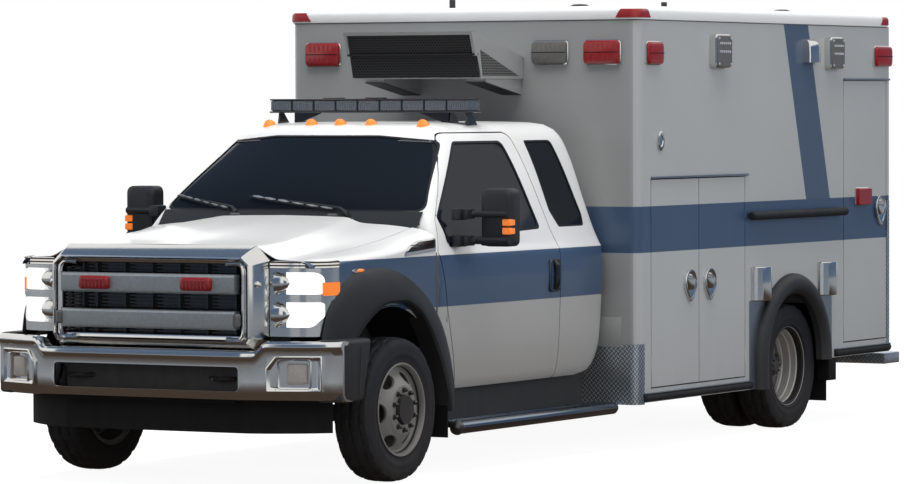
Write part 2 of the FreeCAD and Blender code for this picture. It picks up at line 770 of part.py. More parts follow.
# Roof cap with rounded upper edges.
cap_block = box("cap_block", (-half - d.cap_lip, half + d.cap_lip),
                grown((d.module_front, d.module_rear), d.cap_lip),
                (d.module_top, d.module_top + d.cap_height))
cap_top = d.module_top + d.cap_height
cap_body = rounded("cap_rounded", cap_block, d.module_corner * 0.6,
                   lambda middle, way: middle.z > float(cap_top) - 1)
posts = [rod("roof_post_%d" % number, "z", sized(22), (cap_top - 5, cap_top + 78), x,
             d.module_front + y, 12)
         for number, (x, y) in enumerate(((sized(-430), sized(400)), (sized(480), sized(900))))]
domes = [rod("roof_dome_%d" % number, "z", sized(90), (cap_top - 5, cap_top + 46), x,
             d.module_front + y, 16)
         for number, (x, y) in enumerate(((sized(-120), sized(1500)), (sized(380), sized(2500))))]
node("roof_cap", fuse("roof_cap_body", cap_body, *posts, *domes))

# Air conditioning condenser on the module's front wall, on two wedge gussets.
wall_y = d.module_front
condenser_low = sized(2260)
condenser = prism("condenser_box", "YZ", [(wall_y - 537, condenser_low), (wall_y, condenser_low),
                                          (wall_y, condenser_low + 131),
                                          (wall_y - 641, condenser_low + 283)], -440, 440)
gusset = prism("gusset", "YZ", [(wall_y - 450, condenser_low - 20), (wall_y, condenser_low - 97),
                                (wall_y, condenser_low), (wall_y - 450, condenser_low)], 290, 420)
node("condenser", fuse("condenser_body", condenser, *both(gusset)))

# Lamps on the module: each housing stands on the skin.
lamp_stand = sized(34)
lamp_z = d.module_top - 271


def side_lamp(name, y_low, y_high, z_low, z_high):
    return box(name, (half, half + lamp_stand), (y_low, y_high), (z_low, z_high))


def wall_lamp(name, x_low, x_high, z_low, z_high):
    return box(name, (x_low, x_high), (wall_y - lamp_stand, wall_y), (z_low, z_high))


def tail_lamp(name, x_low, x_high, z_low, z_high):
    return box(name, (x_low, x_high), (d.module_rear, d.module_rear + lamp_stand), (z_low, z_high))


node("warning_lamps",
     *both(side_lamp("side_red_front", d.module_front + 86, d.module_front + 372, lamp_z,
                     lamp_z + 142),
           side_lamp("side_red_rear", d.module_rear - 277, d.module_rear - 15, lamp_z, lamp_z + 142),
           *[prism("cap_lamp_%d" % number, "YZ",
                   [(y - 85, d.module_top + 10), (y + 85, d.module_top + 10),
                    (y + 55, d.module_top + 42), (y - 55, d.module_top + 42)],
                   half + d.cap_lip, half + d.cap_lip + 16)
             for number, y in enumerate((d.module_front + 120, d.module_rear - 120))],
           wall_lamp("wall_red", 860, 1125, lamp_z, lamp_z + 146),
           tail_lamp("tail_red_high", 940, 1180, lamp_z, lamp_z + 142),
           tail_lamp("tail_red_low", 800, 1000, 560, 660)))
node("scene_lamps",
     *both(side_lamp("scene_front", d.module_front + 979, d.module_front + 1336, lamp_z - 18,
                     lamp_z + 190),
           side_lamp("scene_rear", d.module_rear - 1036, d.module_rear - 672, lamp_z - 18,
                     lamp_z + 190),
           wall_lamp("wall_clear", 495, 750, lamp_z, lamp_z + 146),
           tail_lamp("tail_clear", 660, 900, lamp_z, lamp_z + 142)))

# Chromed pressings on the left side: the vent's hood and the covers of the two filler wells.
vent_y = d.module_rear - 1231
vent = prism("vent_hood", "YZ", [(vent_y - 148, lamp_z + 24), (vent_y + 148, lamp_z + 24),
                                 (vent_y + 120, lamp_z + 122), (vent_y + 55, lamp_z + 175),
                                 (vent_y - 55, lamp_z + 175), (vent_y - 120, lamp_z + 122)],
             half, half + 48)
covers = [turned("filler_cover_%d" % number, [(0, 6), (0, 118), (9, 118), (26, 70), (32, 6)],
                 half, y, sized(962), 16)
          for number, y in enumerate((d.locker_rear + 208, d.tall_front - 278))]
node("side_fittings", vent, *covers)

# Black rub rails along both skirts and the bar along the side above the wheel.
rub = sized(26)
node("rub_rails",
     *both(box("rub_front", (half, half + rub), (d.locker_front - 90, d.skirt_front_end - 20),
               (d.skirt_front_low + 8, d.skirt_front_low + 56)),
           box("rub_rear", (half, half + rub), (d.skirt_rear_start + 30, d.module_rear - 10),
               (d.skirt_rear_low + 8, d.skirt_rear_low + 56)),
           prism("side_bar", "XZ", [(half, 1366), (half + d.rail_stand, 1378),
                                    (half + d.rail_stand, 1408), (half, 1420)],
                 d.locker_rear + 14, d.tall_front - 30)))

# Diamond-plate guards round the module's lower front corners.
guard = sized(4)
guard_z = (sized(290), sized(648))
node("stone_guards",
     *both(fuse("guard_body",
                box("guard_front", (970, half - d.module_corner), (wall_y - guard, wall_y), guard_z),
                box("guard_side", (half, half + guard), (wall_y + d.module_corner, d.locker_front - 92),
                    guard_z))))

# Rear step on two arms from the rails, and mud flaps behind the rear wheels.
node("rear_step", fuse("rear_step_body",
                       box("step_plate", (-1190, 1190), (d.module_rear + 0, d.rear_reach),
                           (d.step_low, d.step_high)),
                       *both(box("step_arm", (d.rail_x - 90, d.rail_x - 20),
                                 (d.module_rear - 200, d.module_rear + 20),
                                 (d.step_low, rail_low)))))
node("mud_flaps", *both(box("mud_flap", (700, inner_half - 0.3), (d.skirt_rear_start - 8, d.skirt_rear_start),
                            (147, d.floor_low))))

# Inside the module: wall cabinets on the left, a bench with pads on the right.
cabinet_rear = d.tall_front - wall
cot_plate = box("cot_plate", (-200, 200), (d.module_rear - 1729, d.module_rear - 229),
                (d.floor_top, d.floor_top + 12))
node("module_interior", cot_plate,
     fuse("cabinet", box("cabinet_low", (d.well_x, inner_half), (d.locker_rear + wall, cabinet_rear),
                         (d.well_top + wall, d.well_top + wall + 60)),
          box("cabinet_high", (inner_half - 360, inner_half), (d.locker_rear + wall, cabinet_rear),
              (1500, d.ceiling))),
     fuse("bench", box("bench_top", (-inner_half, -d.well_x + 60), (d.entry_rear + 260, cabinet_rear),
                       (1180, 1210)),
          box("bench_front", (-d.well_x + 30, -d.well_x + 60), (d.entry_rear + 260, cabinet_rear),
              (d.floor_top, 1180))))
node("bench_pads",
     box("bench_seat", (-inner_half + 80, -d.well_x + 50), (d.entry_rear + 280, cabinet_rear - 20),
         (1210, 1290)),
     box("bench_back", (-inner_half, -inner_half + 70), (d.entry_rear + 280, cabinet_rear - 20),
         (1320, 1720)))

# Cab: a lofted body whose plan shrinks towards the roof; the front of each plan is an arc.
# A level is (height, half width at the front, half width behind, front at the middle,
# front at the side, rear).
cowl = d.firewall - 98
cab_half = d.cab_half
cab_levels = [
    (d.cab_low, cab_half - 55, cab_half - 55, cowl, cowl, d.cab_rear - 230),
    (d.cab_low + 90, cab_half - 30, cab_half - 30, cowl, cowl, d.cab_rear - 70),
    (d.cab_low + 160, cab_half - 23, cab_half - 23, cowl, cowl, d.cab_rear - 22),
    (d.belt - 293, cab_half - 9, cab_half - 9, cowl, cowl, d.cab_rear - 5),
    (d.belt - 148, cab_half, cab_half, cowl, cowl, d.cab_rear),
    (d.belt, cab_half - 12, cab_half - 12, cowl, cowl, d.cab_rear),
    (d.glass_low - 20, cab_half - 55, cab_half - 60, cowl, cowl + 18, d.cab_rear - 25),
    (d.screen_low, cab_half - 112, cab_half - 85, d.screen_foot, d.screen_foot + 33,
     d.cab_rear - 45),
    (d.glass_top, cab_half - 300, cab_half - 215, d.screen_head - 38, d.screen_head + 120,
     d.cab_rear - 110),
    (d.roof - 40, cab_half - 345, cab_half - 265, d.screen_head + 60, d.screen_head + 200,
     d.cab_rear - 130),
    (d.roof, cab_half - 470, cab_half - 385, d.screen_head + 210, d.screen_head + 310,
     d.cab_rear - 200),
]


def cab_wire(level, inset):
    z, x_front, x_rear, y_middle, y_side, y_rear = [float(value) for value in level]
    x_front -= inset
    x_rear -= inset
    y_middle += inset
    y_side += inset
    y_rear -= inset
    corner = 40
    bevel = 55 if y_side > y_middle else 12
    left = [Vector(x_front, y_side + bevel, z), Vector(x_rear, y_rear - corner, z),
            Vector(x_rear - corner, y_rear, z)]
    right = [Vector(-p.x, p.y, p.z) for p in left]
    front = []
    inner = 1 - bevel / x_front
    for part in (-inner, -0.72, -0.4, 0.4, 0.72, inner):
        front.append(Vector(x_front * part, y_middle + (y_side - y_middle) * part * part, z))
    return right[:1] + front + left + right[:0:-1]


def cab_solid(name, inset, low_shift=0.0, top_shift=0.0):
    """The cab's outer form, or a smaller one for its inside and its panes."""
    levels = [list(level) for level in cab_levels]
    levels[0][0] = levels[0][0] - low_shift
    levels[-1][0] = levels[-1][0] - top_shift
    levels[-2][0] = levels[-2][0] - top_shift
    return loft(name, [cab_wire(level, inset) for level in levels])


cab_wall = float(d.cab_wall)
cab_outside = cab_solid("cab_outside", 0.0)
cab_inside = cab_solid("cab_inside", cab_wall, 10.0, cab_wall * 0.6)
pane_outside = cab_solid("pane_outside", 10.0, 5.0, 6.0)
pane_inside = cab_solid("pane_inside", 10.0 + float(d.glass_thick), 8.0, 10.0)
cab_skin = cut("cab_skin", cab_outside, cab_inside)
pane_skin = cut("pane_skin", pane_outside, pane_inside)

# Outlines of the openings: the screen seen from the front, the rest from the side.
screen_points = [(-cab_half + 160, d.screen_low + 22), (cab_half - 160, d.screen_low + 22),
                 (cab_half - 325, d.glass_top), (0, d.glass_top + 34), (-cab_half + 325, d.glass_top)]
screen_hole = prism("screen_hole", "XZ", screen_points, 400, 1300)
door_rear = sized(1975)
door_seam = [(770, d.cab_low + 12), (door_rear, d.cab_low + 12), (door_rear, d.belt),
             (door_rear - 45, d.glass_low), (door_rear - 150, d.glass_top + 45),
             (1150, d.glass_top + 45), (d.firewall - 10, d.screen_low - 40),
             (d.firewall - 62, d.belt), (d.firewall + 24, d.belt - 321)]
door_room_points = [(770 - gap, d.cab_low - 30), (door_rear + gap, d.cab_low - 30),
                    (door_rear + gap, d.belt), (door_rear - 45 + gap, d.glass_low),
                    (door_rear - 150 + gap, d.glass_top + 45 + gap),
                    (1150 - gap, d.glass_top + 45 + gap),
                    (d.firewall - 10 - gap, d.screen_low - 40 + gap),
                    (d.firewall - 62 - gap, d.belt), (d.firewall + 24 - gap, d.belt - 321)]
window_points = [(d.firewall + 80, d.glass_low - 60), (1180 - 375, d.glass_low - 15),
                 (1812, d.glass_low), (1708, d.glass_top), (1235, d.glass_top),
                 (d.firewall + 68, d.screen_low - 22)]
quarter_points = [(2063, d.glass_low + 4), (2382, d.glass_low + 4), (2398, d.glass_low + 60),
                  (2271, d.glass_top), (1956, d.glass_top), (2005, d.glass_low + 70)]
x_cut = (600, cab_half + 40)
door_hole = prism("door_hole", "YZ", door_room_points, *x_cut)
door_block = prism("door_block", "YZ", door_seam, *x_cut)
window_hole = prism("window_hole", "YZ", window_points, *x_cut)
quarter_hole = prism("quarter_hole", "YZ", quarter_points, *x_cut)
door_axis = sized(622)
door_heights = [sized(925)]
fixed_cab, moving_cab = upright_hinge("cab_door", cab_half - 7, door_axis, door_heights)

floor_front = box("cab_floor_front", (-d.sill_x, d.sill_x), (cowl + 20, d.cab_rear - 20),
                  (d.cab_floor - 40, d.cab_floor))
floor_rear = box("cab_floor_rear", (-cab_half + 40, cab_half - 40), (door_rear + 30, d.cab_rear - 20),
                 (d.cab_floor - 40, d.cab_floor))
sill_low = d.cab_low - 50
sill = box("cab_sill", (d.sill_x - 110, d.sill_x), (d.firewall + 10, d.cab_rear - 240),
           (sill_low, d.cab_floor))
cab_openings = cut("cab_openings", fuse("cab_hinged", cab_skin, *both(*fixed_cab)), screen_hole,
                   *both(door_hole, quarter_hole,
                         *hinge_room("cab_high", cab_half - 7, door_axis, door_heights, True)),
                   box("cab_tunnel", (-560, 560), (cowl - 10, d.cab_rear + 10),
                       (d.cab_low - 20, d.cab_floor - 40)))
cowl_bar = box("cowl_bar", (-460, 460), (cowl - 8, cowl + 45), (1400, 1458))
hood_axis = (cowl - 12, d.hood_rear_top + 4)


def hood_knuckle(name, span, reach):
    """Half a hinge of the hood on its lug, which reaches to the rear or, below 0, to the front."""
    y, z = hood_axis
    lug = box(name + "_lug", span, (y, y + reach) if reach > 0 else (y + reach, y), (z - 34, z))
    return fuse(name, rod(name + "_knuckle", "x", d.knuckle_radius, span, y, z), lug)


cab_frame = fuse("cab_frame", floor_front, floor_rear, *both(sill), cowl_bar,
                 *both(hood_knuckle("hood_fixed", (300, 360 - d.knuckle_play), 40)))
cab_frame.Refine = True
cab_body = fuse("cab_body", cab_openings, cab_frame)
node("cab_shell", cab_body)
door_panel = cut("door_panel", common("door_common", cab_skin, door_block), window_hole, screen_hole,
                 box("door_nose_room", (500, cab_half - 100), (400, d.firewall), (d.cab_low, d.screen_low)),
                 *hinge_room("cab_low", cab_half - 7, door_axis, door_heights, False))
kept_pair("cab_door", fuse("cab_door_body", door_panel, *moving_cab))
kept_pair("door_glass", common("door_pane", pane_skin, window_hole))
node("cab_glass", common("screen_pane", pane_skin, screen_hole),
     *both(common("quarter_pane", pane_skin, quarter_hole)))

# Dashboard with the steering wheel, and the two cab seats.
dash_front = cowl + cab_wall + 0.3
dash_block = prism("dash_block", "YZ", [(dash_front, d.belt - 128), (d.firewall + 290, d.belt - 128),
                                        (d.firewall + 290, d.belt + 40), (d.firewall + 190, d.belt + 82),
                                        (dash_front + 20, d.belt + 82), (dash_front, d.belt)],
                   -cab_half + 165, cab_half - 165)
node("dashboard", fuse("dashboard_body", dash_block,
                       rod("column", "y", sized(28), (d.firewall + 270, d.firewall + 470), 400,
                           d.belt - 18, 12),
                       rod("steering_wheel", "y", sized(205),
                           (d.firewall + 450, d.firewall + 480), 400, d.belt - 18, 24)))


def cab_seat(name, x):
    y = d.firewall + 620
    z = d.cab_floor + 160
    return fuse(name, box(name + "_cushion", (x - 250, x + 250), (y, y + 520), (z, z + 140)),
                box(name + "_base", (x - 180, x + 180), (y + 60, y + 460), (d.cab_floor, z)),
                box(name + "_back", (x - 240, x + 240), (y + 470, y + 610), (z + 80, z + 760)))


node("seats", cab_seat("driver_seat", 430), cab_seat("mate_seat", -430))

# Front clip: hood and fenders cut from one lofted skin, so that their surfaces meet.
# A station is (Y, half width, then the heights of the fender's shoulder, the hood's side,
# the raised plateau's edge and the middle).
lamp_back = sized(-560)
lamp_high = sized(1212)


def clip_wire(station, inset):
    y, half_width, shoulder, side, plateau, middle = [float(value) for value in station]
    x = half_width - inset
    hood_x = float(d.hood_side)
    low = float(d.cab_low) - inset
    left = [Vector(x, y, low), Vector(x, y, shoulder - 70 - inset), Vector(x - 28, y, shoulder - inset),
            Vector(hood_x - 20, y, side - inset), Vector(hood_x - 270, y, plateau - inset),
            Vector(0, y, middle - inset)]
    right = [Vector(-p.x, p.y, p.z) for p in left[-2::-1]]
    return left + right


wide = d.fender_x + 4
stations = [(-d.nose, wide - 66, 1248, 1254, d.hood_front_top - 6, d.hood_front_top),
            (lamp_back, wide, 1268, 1275, d.hood_front_top + 4, d.hood_front_top + 16),
            (0, wide, 1290, 1345, d.hood_rear_top - 62, d.hood_rear_top - 48),
            (cowl - 8, wide, 1340, 1420, d.hood_rear_top - 14, d.hood_rear_top)]
clip_outside = loft("clip_outside", [clip_wire(station, 0.0) for station in stations])
ends = [(stations[0][0] - 20,) + stations[0][1:], *stations[1:-1],
        (stations[-1][0] + 20,) + stations[-1][1:]]
clip_inside = loft("clip_inside", [clip_wire(station, float(d.hood_wall)) for station in ends])
clip_skin = cut("clip_skin", clip_outside, clip_inside)
hood_x = d.hood_side
hood_block = box("hood_block", (-hood_x, hood_x), (-d.nose + gap, cowl - 16), (1150, 1600))
hood_panel = common("hood_panel", clip_skin, hood_block)
node("hood", fuse("hood_body", hood_panel, *both(hood_knuckle("hood_moving", (360, 420), -30))))
fender_block = box("fender_block", (hood_x + gap, d.fender_x + 10), (-d.nose + gap, cowl - 1),
                   (d.cab_low, 1500))
arch_tool = rod("front_arch_room", "x", d.front_arch, (500, d.fender_x + 20), 0, d.tyre_radius)
fender = cut("fender", common("fender_skin", clip_skin, fender_block), arch_tool,
             box("fender_front_room", (500, d.fender_x + 20), (-600, 0), (400, d.tyre_radius + 380)),
             box("headlamp_room", (500, d.fender_x + 20), (-d.nose - 10, lamp_back), (400, lamp_high)))
node("fenders", *both(fender))

# Wheel flares: black mouldings that follow each arch; the front ones run down to the bumper.
end_y = -d.bumper_end
flare_foot = end_y + 20.3
flare_points = [(flare_foot, 826), (-661, 1090), (-121, 1199, -62), (500, 865, -92),
                (590, 487, -22), (566, 375), (500, 375), (440, 609), (66, 1003, 92),
                (-358, 870, 58), (-466, 826)]
front_flare = prism("front_flare", "YZ", flare_points, d.fender_x + 4.3, d.flare_x)
flare_end = prism("flare_end", "YZ", [(flare_foot, 490), (-466, 490), (-466, 826),
                                      (flare_foot, 826)],
                  d.bumper_half - 80, d.bumper_half + 6)
rear_flare = cut("rear_flare", rod("rear_flare_disc", "x", d.arch_radius + 75,
                                   (half, half + 30), arch_y, d.tyre_radius),
                 rod("rear_flare_room", "x", d.arch_radius - 20, (half - 1, half + 31), arch_y,
                     d.tyre_radius),
                 box("rear_flare_foot", (half - 1, half + 31), (arch_y - 700, arch_y + 700),
                     (-400, d.skirt_front_low)),
                 box("rear_flare_heel", (half - 1, half + 31), (arch_y, arch_y + 700),
                     (-400, d.skirt_rear_low)))
liner_x = (d.fender_x - 400, d.fender_x + 4.3)
liner_rear = cowl - 1
liner_arc = cut("liner_arc", rod("liner_disc", "x", d.front_arch - 6, liner_x, 0, d.tyre_radius, 28),
                rod("liner_room", "x", d.front_arch - 16, grown(liner_x, 1), 0, d.tyre_radius, 28),
                box("liner_front", grown(liner_x, 2), (-d.front_arch, -430), (-200, 1200)),
                box("liner_rear_room", grown(liner_x, 2), (liner_rear, d.front_arch), (-200, 1200)),
                box("liner_foot", grown(liner_x, 2), (-d.front_arch, d.front_arch),
                    (-200, d.tyre_radius + 272)))
liner = fuse("front_liner", liner_arc,
             box("liner_back", liner_x, (liner_rear - 10, liner_rear),
                 (d.board_high + 10, d.tyre_radius + 288)))
node("wheel_flares", *both(fuse("front_flare_body", front_flare, flare_end), liner, rear_flare))

# Headlamps between the grille and the fenders, and the fog lamps in the bumper's recesses.
fog_lamp = prism("fog_lamp", "XY", [(844, -869), (970, -833), (970, -808.9), (844, -844.6)], 587, 701)
headlamp = prism("headlamp", "XY", [(d.lamp_inner + 4, -d.nose), (900, -d.nose + 20, 8),
                                    (d.fender_x - 4, -640, 30), (d.fender_x - 4, lamp_back - 0.3),
                                    (d.lamp_inner + 4, lamp_back - 0.3)], d.lamp_low, lamp_high)
node("headlamps", *both(fog_lamp, headlamp))

# Grille: a deep bevelled surround, two cross bars and the slatted core behind them.
grille_x = d.grille_half
face_y = -d.nose - d.grille_depth


def grille_ring(inset, lower):
    x = grille_x - inset
    return [(-x + 92, d.grille_top - lower), (-x, d.grille_top - lower - 78),
            (-x, d.grille_low + lower + 75), (-x + 48, d.grille_low + lower),
            (x - 48, d.grille_low + lower), (x, d.grille_low + lower + 75),
            (x, d.grille_top - lower - 78), (x - 92, d.grille_top - lower)]


surround = cut("surround", prism("surround_block", "XZ", grille_ring(0, 0), face_y, -d.nose),
               prism("surround_room", "XZ", grille_ring(80, 62), face_y - 1, -d.nose + 1))
bar_rows = (sized(930), sized(1127))
bars = [box("grille_bar_%d" % number, (-grille_x + 150, grille_x - 150),
            (face_y - 10, face_y + 34), (z - d.bar_height / 2, z + d.bar_height / 2))
        for number, z in enumerate(bar_rows)]
bracket = prism("bracket", "XZ", [(grille_x - 76, 846), (grille_x - 76, 1212), (grille_x - 242, 1212),
                                  (grille_x - 242, 1190), (grille_x - 156, 1190),
                                  (grille_x - 156, 868), (grille_x - 242, 868),
                                  (grille_x - 242, 846)], face_y - 2, face_y + 26)
node("grille", fuse("grille_body", surround, *bars, *both(bracket)))
slats = [box("slat_%d" % number, (-grille_x + 60, grille_x - 60), (-d.nose, -d.nose + 45),
             (z, z + 12)) for number, z in enumerate([sized(790 + 42 * k) for k in range(11)])]
core = box("core_plate", (-grille_x + 20, grille_x - 20), (-d.nose + 45, -d.nose + 75),
           (d.grille_low + 20, d.grille_top - 88))
radiator = box("radiator", (-grille_x + 60, grille_x - 60), (-d.nose + 75, -d.nose + 150),
               (d.rail_top, d.grille_top - 110))
node("grille_core", fuse("grille_core_body", core, radiator, *slats))

# Chrome bumper: a bowed bar, higher at its ends, with a slot and two lamp recesses.
bumper_front = -d.front_reach
bumper_block = prism("bumper_block", "XY",
                     [(-d.bumper_half, end_y), (-620, bumper_front + 10, 22),
                      (620, bumper_front + 10, 10), (d.bumper_half, end_y, 22),
                      (d.bumper_half - 40, end_y + 20), (600, bumper_front + 90, -20),
                      (-600, bumper_front + 90), (-d.bumper_half + 40, end_y + 20, -20)],
                     d.bumper_low, d.bumper_top)
recess_x = (sized(735), sized(1000))
recess_floor = (-d.bumper_end - 130, -d.bumper_end - 55)
bumper = cut("bumper_body", bumper_block,
             prism("bumper_dip", "XZ", [(-grille_x - 70, d.bumper_top + 1), (-grille_x + 10, 768),
                                        (grille_x - 10, 768), (grille_x + 70, d.bumper_top + 1)],
                   -1100, -400),
             box("bumper_slot", (-602, 602), (-1100, -400), (544, 680)),
             *both(prism("lamp_recess", "XY", [(recess_x[0], -1100), (recess_x[1], -1100),
                                               (recess_x[1], recess_floor[1]),
                                               (recess_x[0], recess_floor[0])], 555, 736)))
hook = rod("tow_hook", "z", sized(50), (602, 626), 465, -870, 12)
node("bumper", bumper)
node("bumper_irons", fuse("bumper_irons_body",
                          box("bumper_beam", (-560, 560), (bumper_front + 90, -800),
                              (d.bumper_low + 20, 740)),
                          *both(box("bumper_iron", (d.rail_x - 70, d.rail_x), (-820, rail_front),
                                    (rail_low + 10, d.rail_top - 10)), hook)))
dam = prism("dam_wall", "XY", [(-990, -610), (-600, -850, 30), (600, -850, 12), (990, -610, 30),
                               (960, -600), (600, -815, -28), (-600, -815, -12),
                               (-960, -600, -28)], 310, d.bumper_low)
dam_lip = prism("dam_lip", "XY", [(-560, -860), (-560, bumper_front + 60),
                                  (560, bumper_front + 60), (560, -860)],
                d.bumper_low - 8, d.bumper_low)
node("air_dam", fuse("air_dam_body", dam, dam_lip))

# Running boards under the doors, each on three brackets from the sill.
board_rear = d.cab_rear - 23
board = rod("board_tube", "y", (d.board_high - d.board_low) / 2, (500, board_rear),
            d.board_x - 37.5, (d.board_low + d.board_high) / 2, 16)
plank = box("board_plank", (d.board_x - 190, d.board_x - 30), (540, board_rear),
            (d.board_high - 30, d.board_high - 2))
brackets = [box("board_bracket_%d" % number, (d.sill_x - 60, d.board_x - 150), (y, y + 40),
                (d.board_high - 50, sill_low))
            for number, y in enumerate((d.firewall + 110, d.firewall + 840, d.cab_rear - 370))]
node("running_boards", *both(fuse("board_body", board, plank, *brackets)))

# Mirrors on two arms from the door.
mirror_head = box("mirror_head", (1071, d.mirror_out), (830, 960), (1290, 1625))
sail = prism("mirror_sail", "YZ", [(640, 1330), (760, 1330), (760, 1530), (700, 1500), (640, 1440)],
             cab_half - 175, cab_half + 5)
arms = [box("mirror_arm_%d" % number, (cab_half - 15, 1100), (715, 860), (z - 16, z + 16))
        for number, z in enumerate((sized(1365), sized(1505)))]
kept_pair("mirror", cut("mirror_body", fuse("mirror_all", mirror_head, sail, *arms), cab_outside))

# Cab roof: five amber marker lamps and the lightbar on its feet.
markers = []
for number, (x, y) in enumerate(((0, 1150), (204, 1160), (526, 1215))):
    block = box("marker_%d" % number, (x - 38, x + 38), (y - 30, y + 50), (1900, 2006))
    lamp = cut("marker_lamp_%d" % number, block, cab_outside)
    markers += [lamp] if x == 0 else both(lamp)
node("marker_lamps", *markers)
bar_y = sized(1517)
foot_block = prism("foot_block", "YZ", [(bar_y - 20, d.roof - 60), (bar_y + 150, d.roof - 60),
                                        (bar_y + 60, d.lightbar_low), (bar_y - 60, d.lightbar_low)],
                   570, 620)
foot = cut("lightbar_foot", foot_block, cab_outside)
node("lightbar", fuse("lightbar_body",
                      box("lightbar_housing", (-d.lightbar_half, d.lightbar_half),
                          (bar_y - 75, bar_y + 75), (d.lightbar_low, d.lightbar_high)),
                      *both(foot)))

# Nothing is written unless every object was made and every kept sub-part is sound.
doc.recompute()
for obj in doc.Objects:
    if "Invalid" in obj.State or "Error" in obj.State:
        raise RuntimeError("%s could not be made: %s" % (obj.Label, obj.State))
for obj in NODES:
    if obj.Shape.isNull() or not obj.Shape.isValid() or obj.Shape.Volume <= 0:
        raise RuntimeError("%s is not a sound solid" % obj.Label)
os.makedirs("parts", exist_ok=True)
for obj in NODES:
    obj.Shape.exportStep("parts/%s.step" % obj.Label)
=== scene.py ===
import json
import math
from functools import partial

import bmesh
import bpy
from mathutils import Matrix, Vector

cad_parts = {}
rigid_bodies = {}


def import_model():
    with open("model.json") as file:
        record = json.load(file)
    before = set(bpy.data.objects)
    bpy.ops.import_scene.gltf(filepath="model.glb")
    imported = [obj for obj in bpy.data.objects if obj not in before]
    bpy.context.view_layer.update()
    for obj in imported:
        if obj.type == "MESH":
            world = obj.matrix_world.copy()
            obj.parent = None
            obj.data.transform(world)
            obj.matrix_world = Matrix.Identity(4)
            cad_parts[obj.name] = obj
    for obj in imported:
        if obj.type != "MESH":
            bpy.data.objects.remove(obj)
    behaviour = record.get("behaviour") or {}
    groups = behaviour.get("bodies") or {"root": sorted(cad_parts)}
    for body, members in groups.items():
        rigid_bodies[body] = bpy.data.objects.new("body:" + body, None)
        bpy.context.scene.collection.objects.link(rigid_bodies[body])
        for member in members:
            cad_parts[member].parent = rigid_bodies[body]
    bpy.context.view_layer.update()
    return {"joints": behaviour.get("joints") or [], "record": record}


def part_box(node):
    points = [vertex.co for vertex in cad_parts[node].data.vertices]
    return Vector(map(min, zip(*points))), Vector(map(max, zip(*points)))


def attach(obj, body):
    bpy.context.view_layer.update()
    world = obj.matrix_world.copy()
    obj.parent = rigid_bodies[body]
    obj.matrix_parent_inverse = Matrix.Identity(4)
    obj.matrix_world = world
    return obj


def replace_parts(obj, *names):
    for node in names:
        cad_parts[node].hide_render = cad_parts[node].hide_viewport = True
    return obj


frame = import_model()
scene = bpy.context.scene
scene.view_settings.view_transform = "Standard"

# Camera: low and far off the driver's side of the nose, with a long lens, so that the grille
# and the whole left side show together.
camera = bpy.data.objects.new("camera", bpy.data.cameras.new("camera"))
scene.collection.objects.link(camera)
camera.location = (13.874, -24.9975, 2.108)
view_turn, view_dip, view_roll = -0.512, -0.03, -0.003
sight = Vector((math.cos(view_dip) * math.sin(view_turn), math.cos(view_dip) * math.cos(view_turn),
    math.sin(view_dip)))
camera.rotation_euler = sight.to_track_quat("-Z", "Y").to_euler()
camera.rotation_euler.rotate_axis("Z", view_roll)
camera.data.sensor_width = 36
camera.data.lens = 183.43
camera.data.clip_end = 200
scene.camera = camera

# Studio: a white floor that keeps the shadow, a white surround, a broad lamp overhead and a
# softer one from the driver's side.
floor_mesh = bmesh.new()
bmesh.ops.create_grid(floor_mesh, x_segments=1, y_segments=1, size=60)
floor_data = bpy.data.meshes.new("floor")
floor_mesh.to_mesh(floor_data)
floor = bpy.data.objects.new("floor", floor_data)
scene.collection.objects.link(floor)


def fresh_material(name):
    material = bpy.data.materials.new(name)
    material.use_nodes = True
    nodes = material.node_tree.nodes
    nodes.clear()
    return material, nodes, material.node_tree.links, nodes.new("ShaderNodeOutputMaterial")


def math_node(nodes, links, operation, first, second):
    """A math node on two inputs, each a socket or a number."""
    node = nodes.new("ShaderNodeMath")
    node.operation = operation
    for socket, value in zip(node.inputs, (first, second)):
        if isinstance(value, (int, float)):
            socket.default_value = value
        else:
            links.new(value, socket)
    return node.outputs[0]


floor_paint, nodes, links, out = fresh_material("floor_paint")
matt = nodes.new("ShaderNodeBsdfPrincipled")
matt.inputs["Base Color"].default_value = (0.34, 0.32, 0.3, 1)
matt.inputs["Roughness"].default_value = 0.9
glow = nodes.new("ShaderNodeEmission")
glow.inputs["Color"].default_value = (1, 1, 1, 1)
glow.inputs["Strength"].default_value = 1.3
shadow = nodes.new("ShaderNodeBsdfDiffuse")
shadow.inputs["Color"].default_value = (0.9, 0.9, 0.9, 1)
rays = nodes.new("ShaderNodeLightPath")
pale = nodes.new("ShaderNodeMixShader")
pale.inputs[0].default_value = 0.72
links.new(shadow.outputs[0], pale.inputs[1])
links.new(glow.outputs[0], pale.inputs[2])
ground = nodes.new("ShaderNodeEmission")
spot = nodes.new("ShaderNodeTexCoord")
reach = nodes.new("ShaderNodeVectorMath")
reach.operation = "LENGTH"
links.new(spot.outputs["Object"], reach.inputs[0])
fade = nodes.new("ShaderNodeValToRGB")
fade.color_ramp.elements[0].position = 0.3
fade.color_ramp.elements[0].color = (0.075, 0.055, 0.042, 1)
fade.color_ramp.elements[1].position = 0.5
fade.color_ramp.elements[1].color = (0.32, 0.35, 0.39, 1)
links.new(math_node(nodes, links, "MULTIPLY", reach.outputs["Value"], 0.05), fade.inputs[0])
links.new(fade.outputs[0], ground.inputs["Color"])
mirrored_floor = nodes.new("ShaderNodeMixShader")
links.new(rays.outputs["Is Glossy Ray"], mirrored_floor.inputs[0])
links.new(matt.outputs[0], mirrored_floor.inputs[1])
links.new(ground.outputs[0], mirrored_floor.inputs[2])
seen = nodes.new("ShaderNodeMixShader")
links.new(rays.outputs["Is Camera Ray"], seen.inputs[0])
links.new(mirrored_floor.outputs[0], seen.inputs[1])
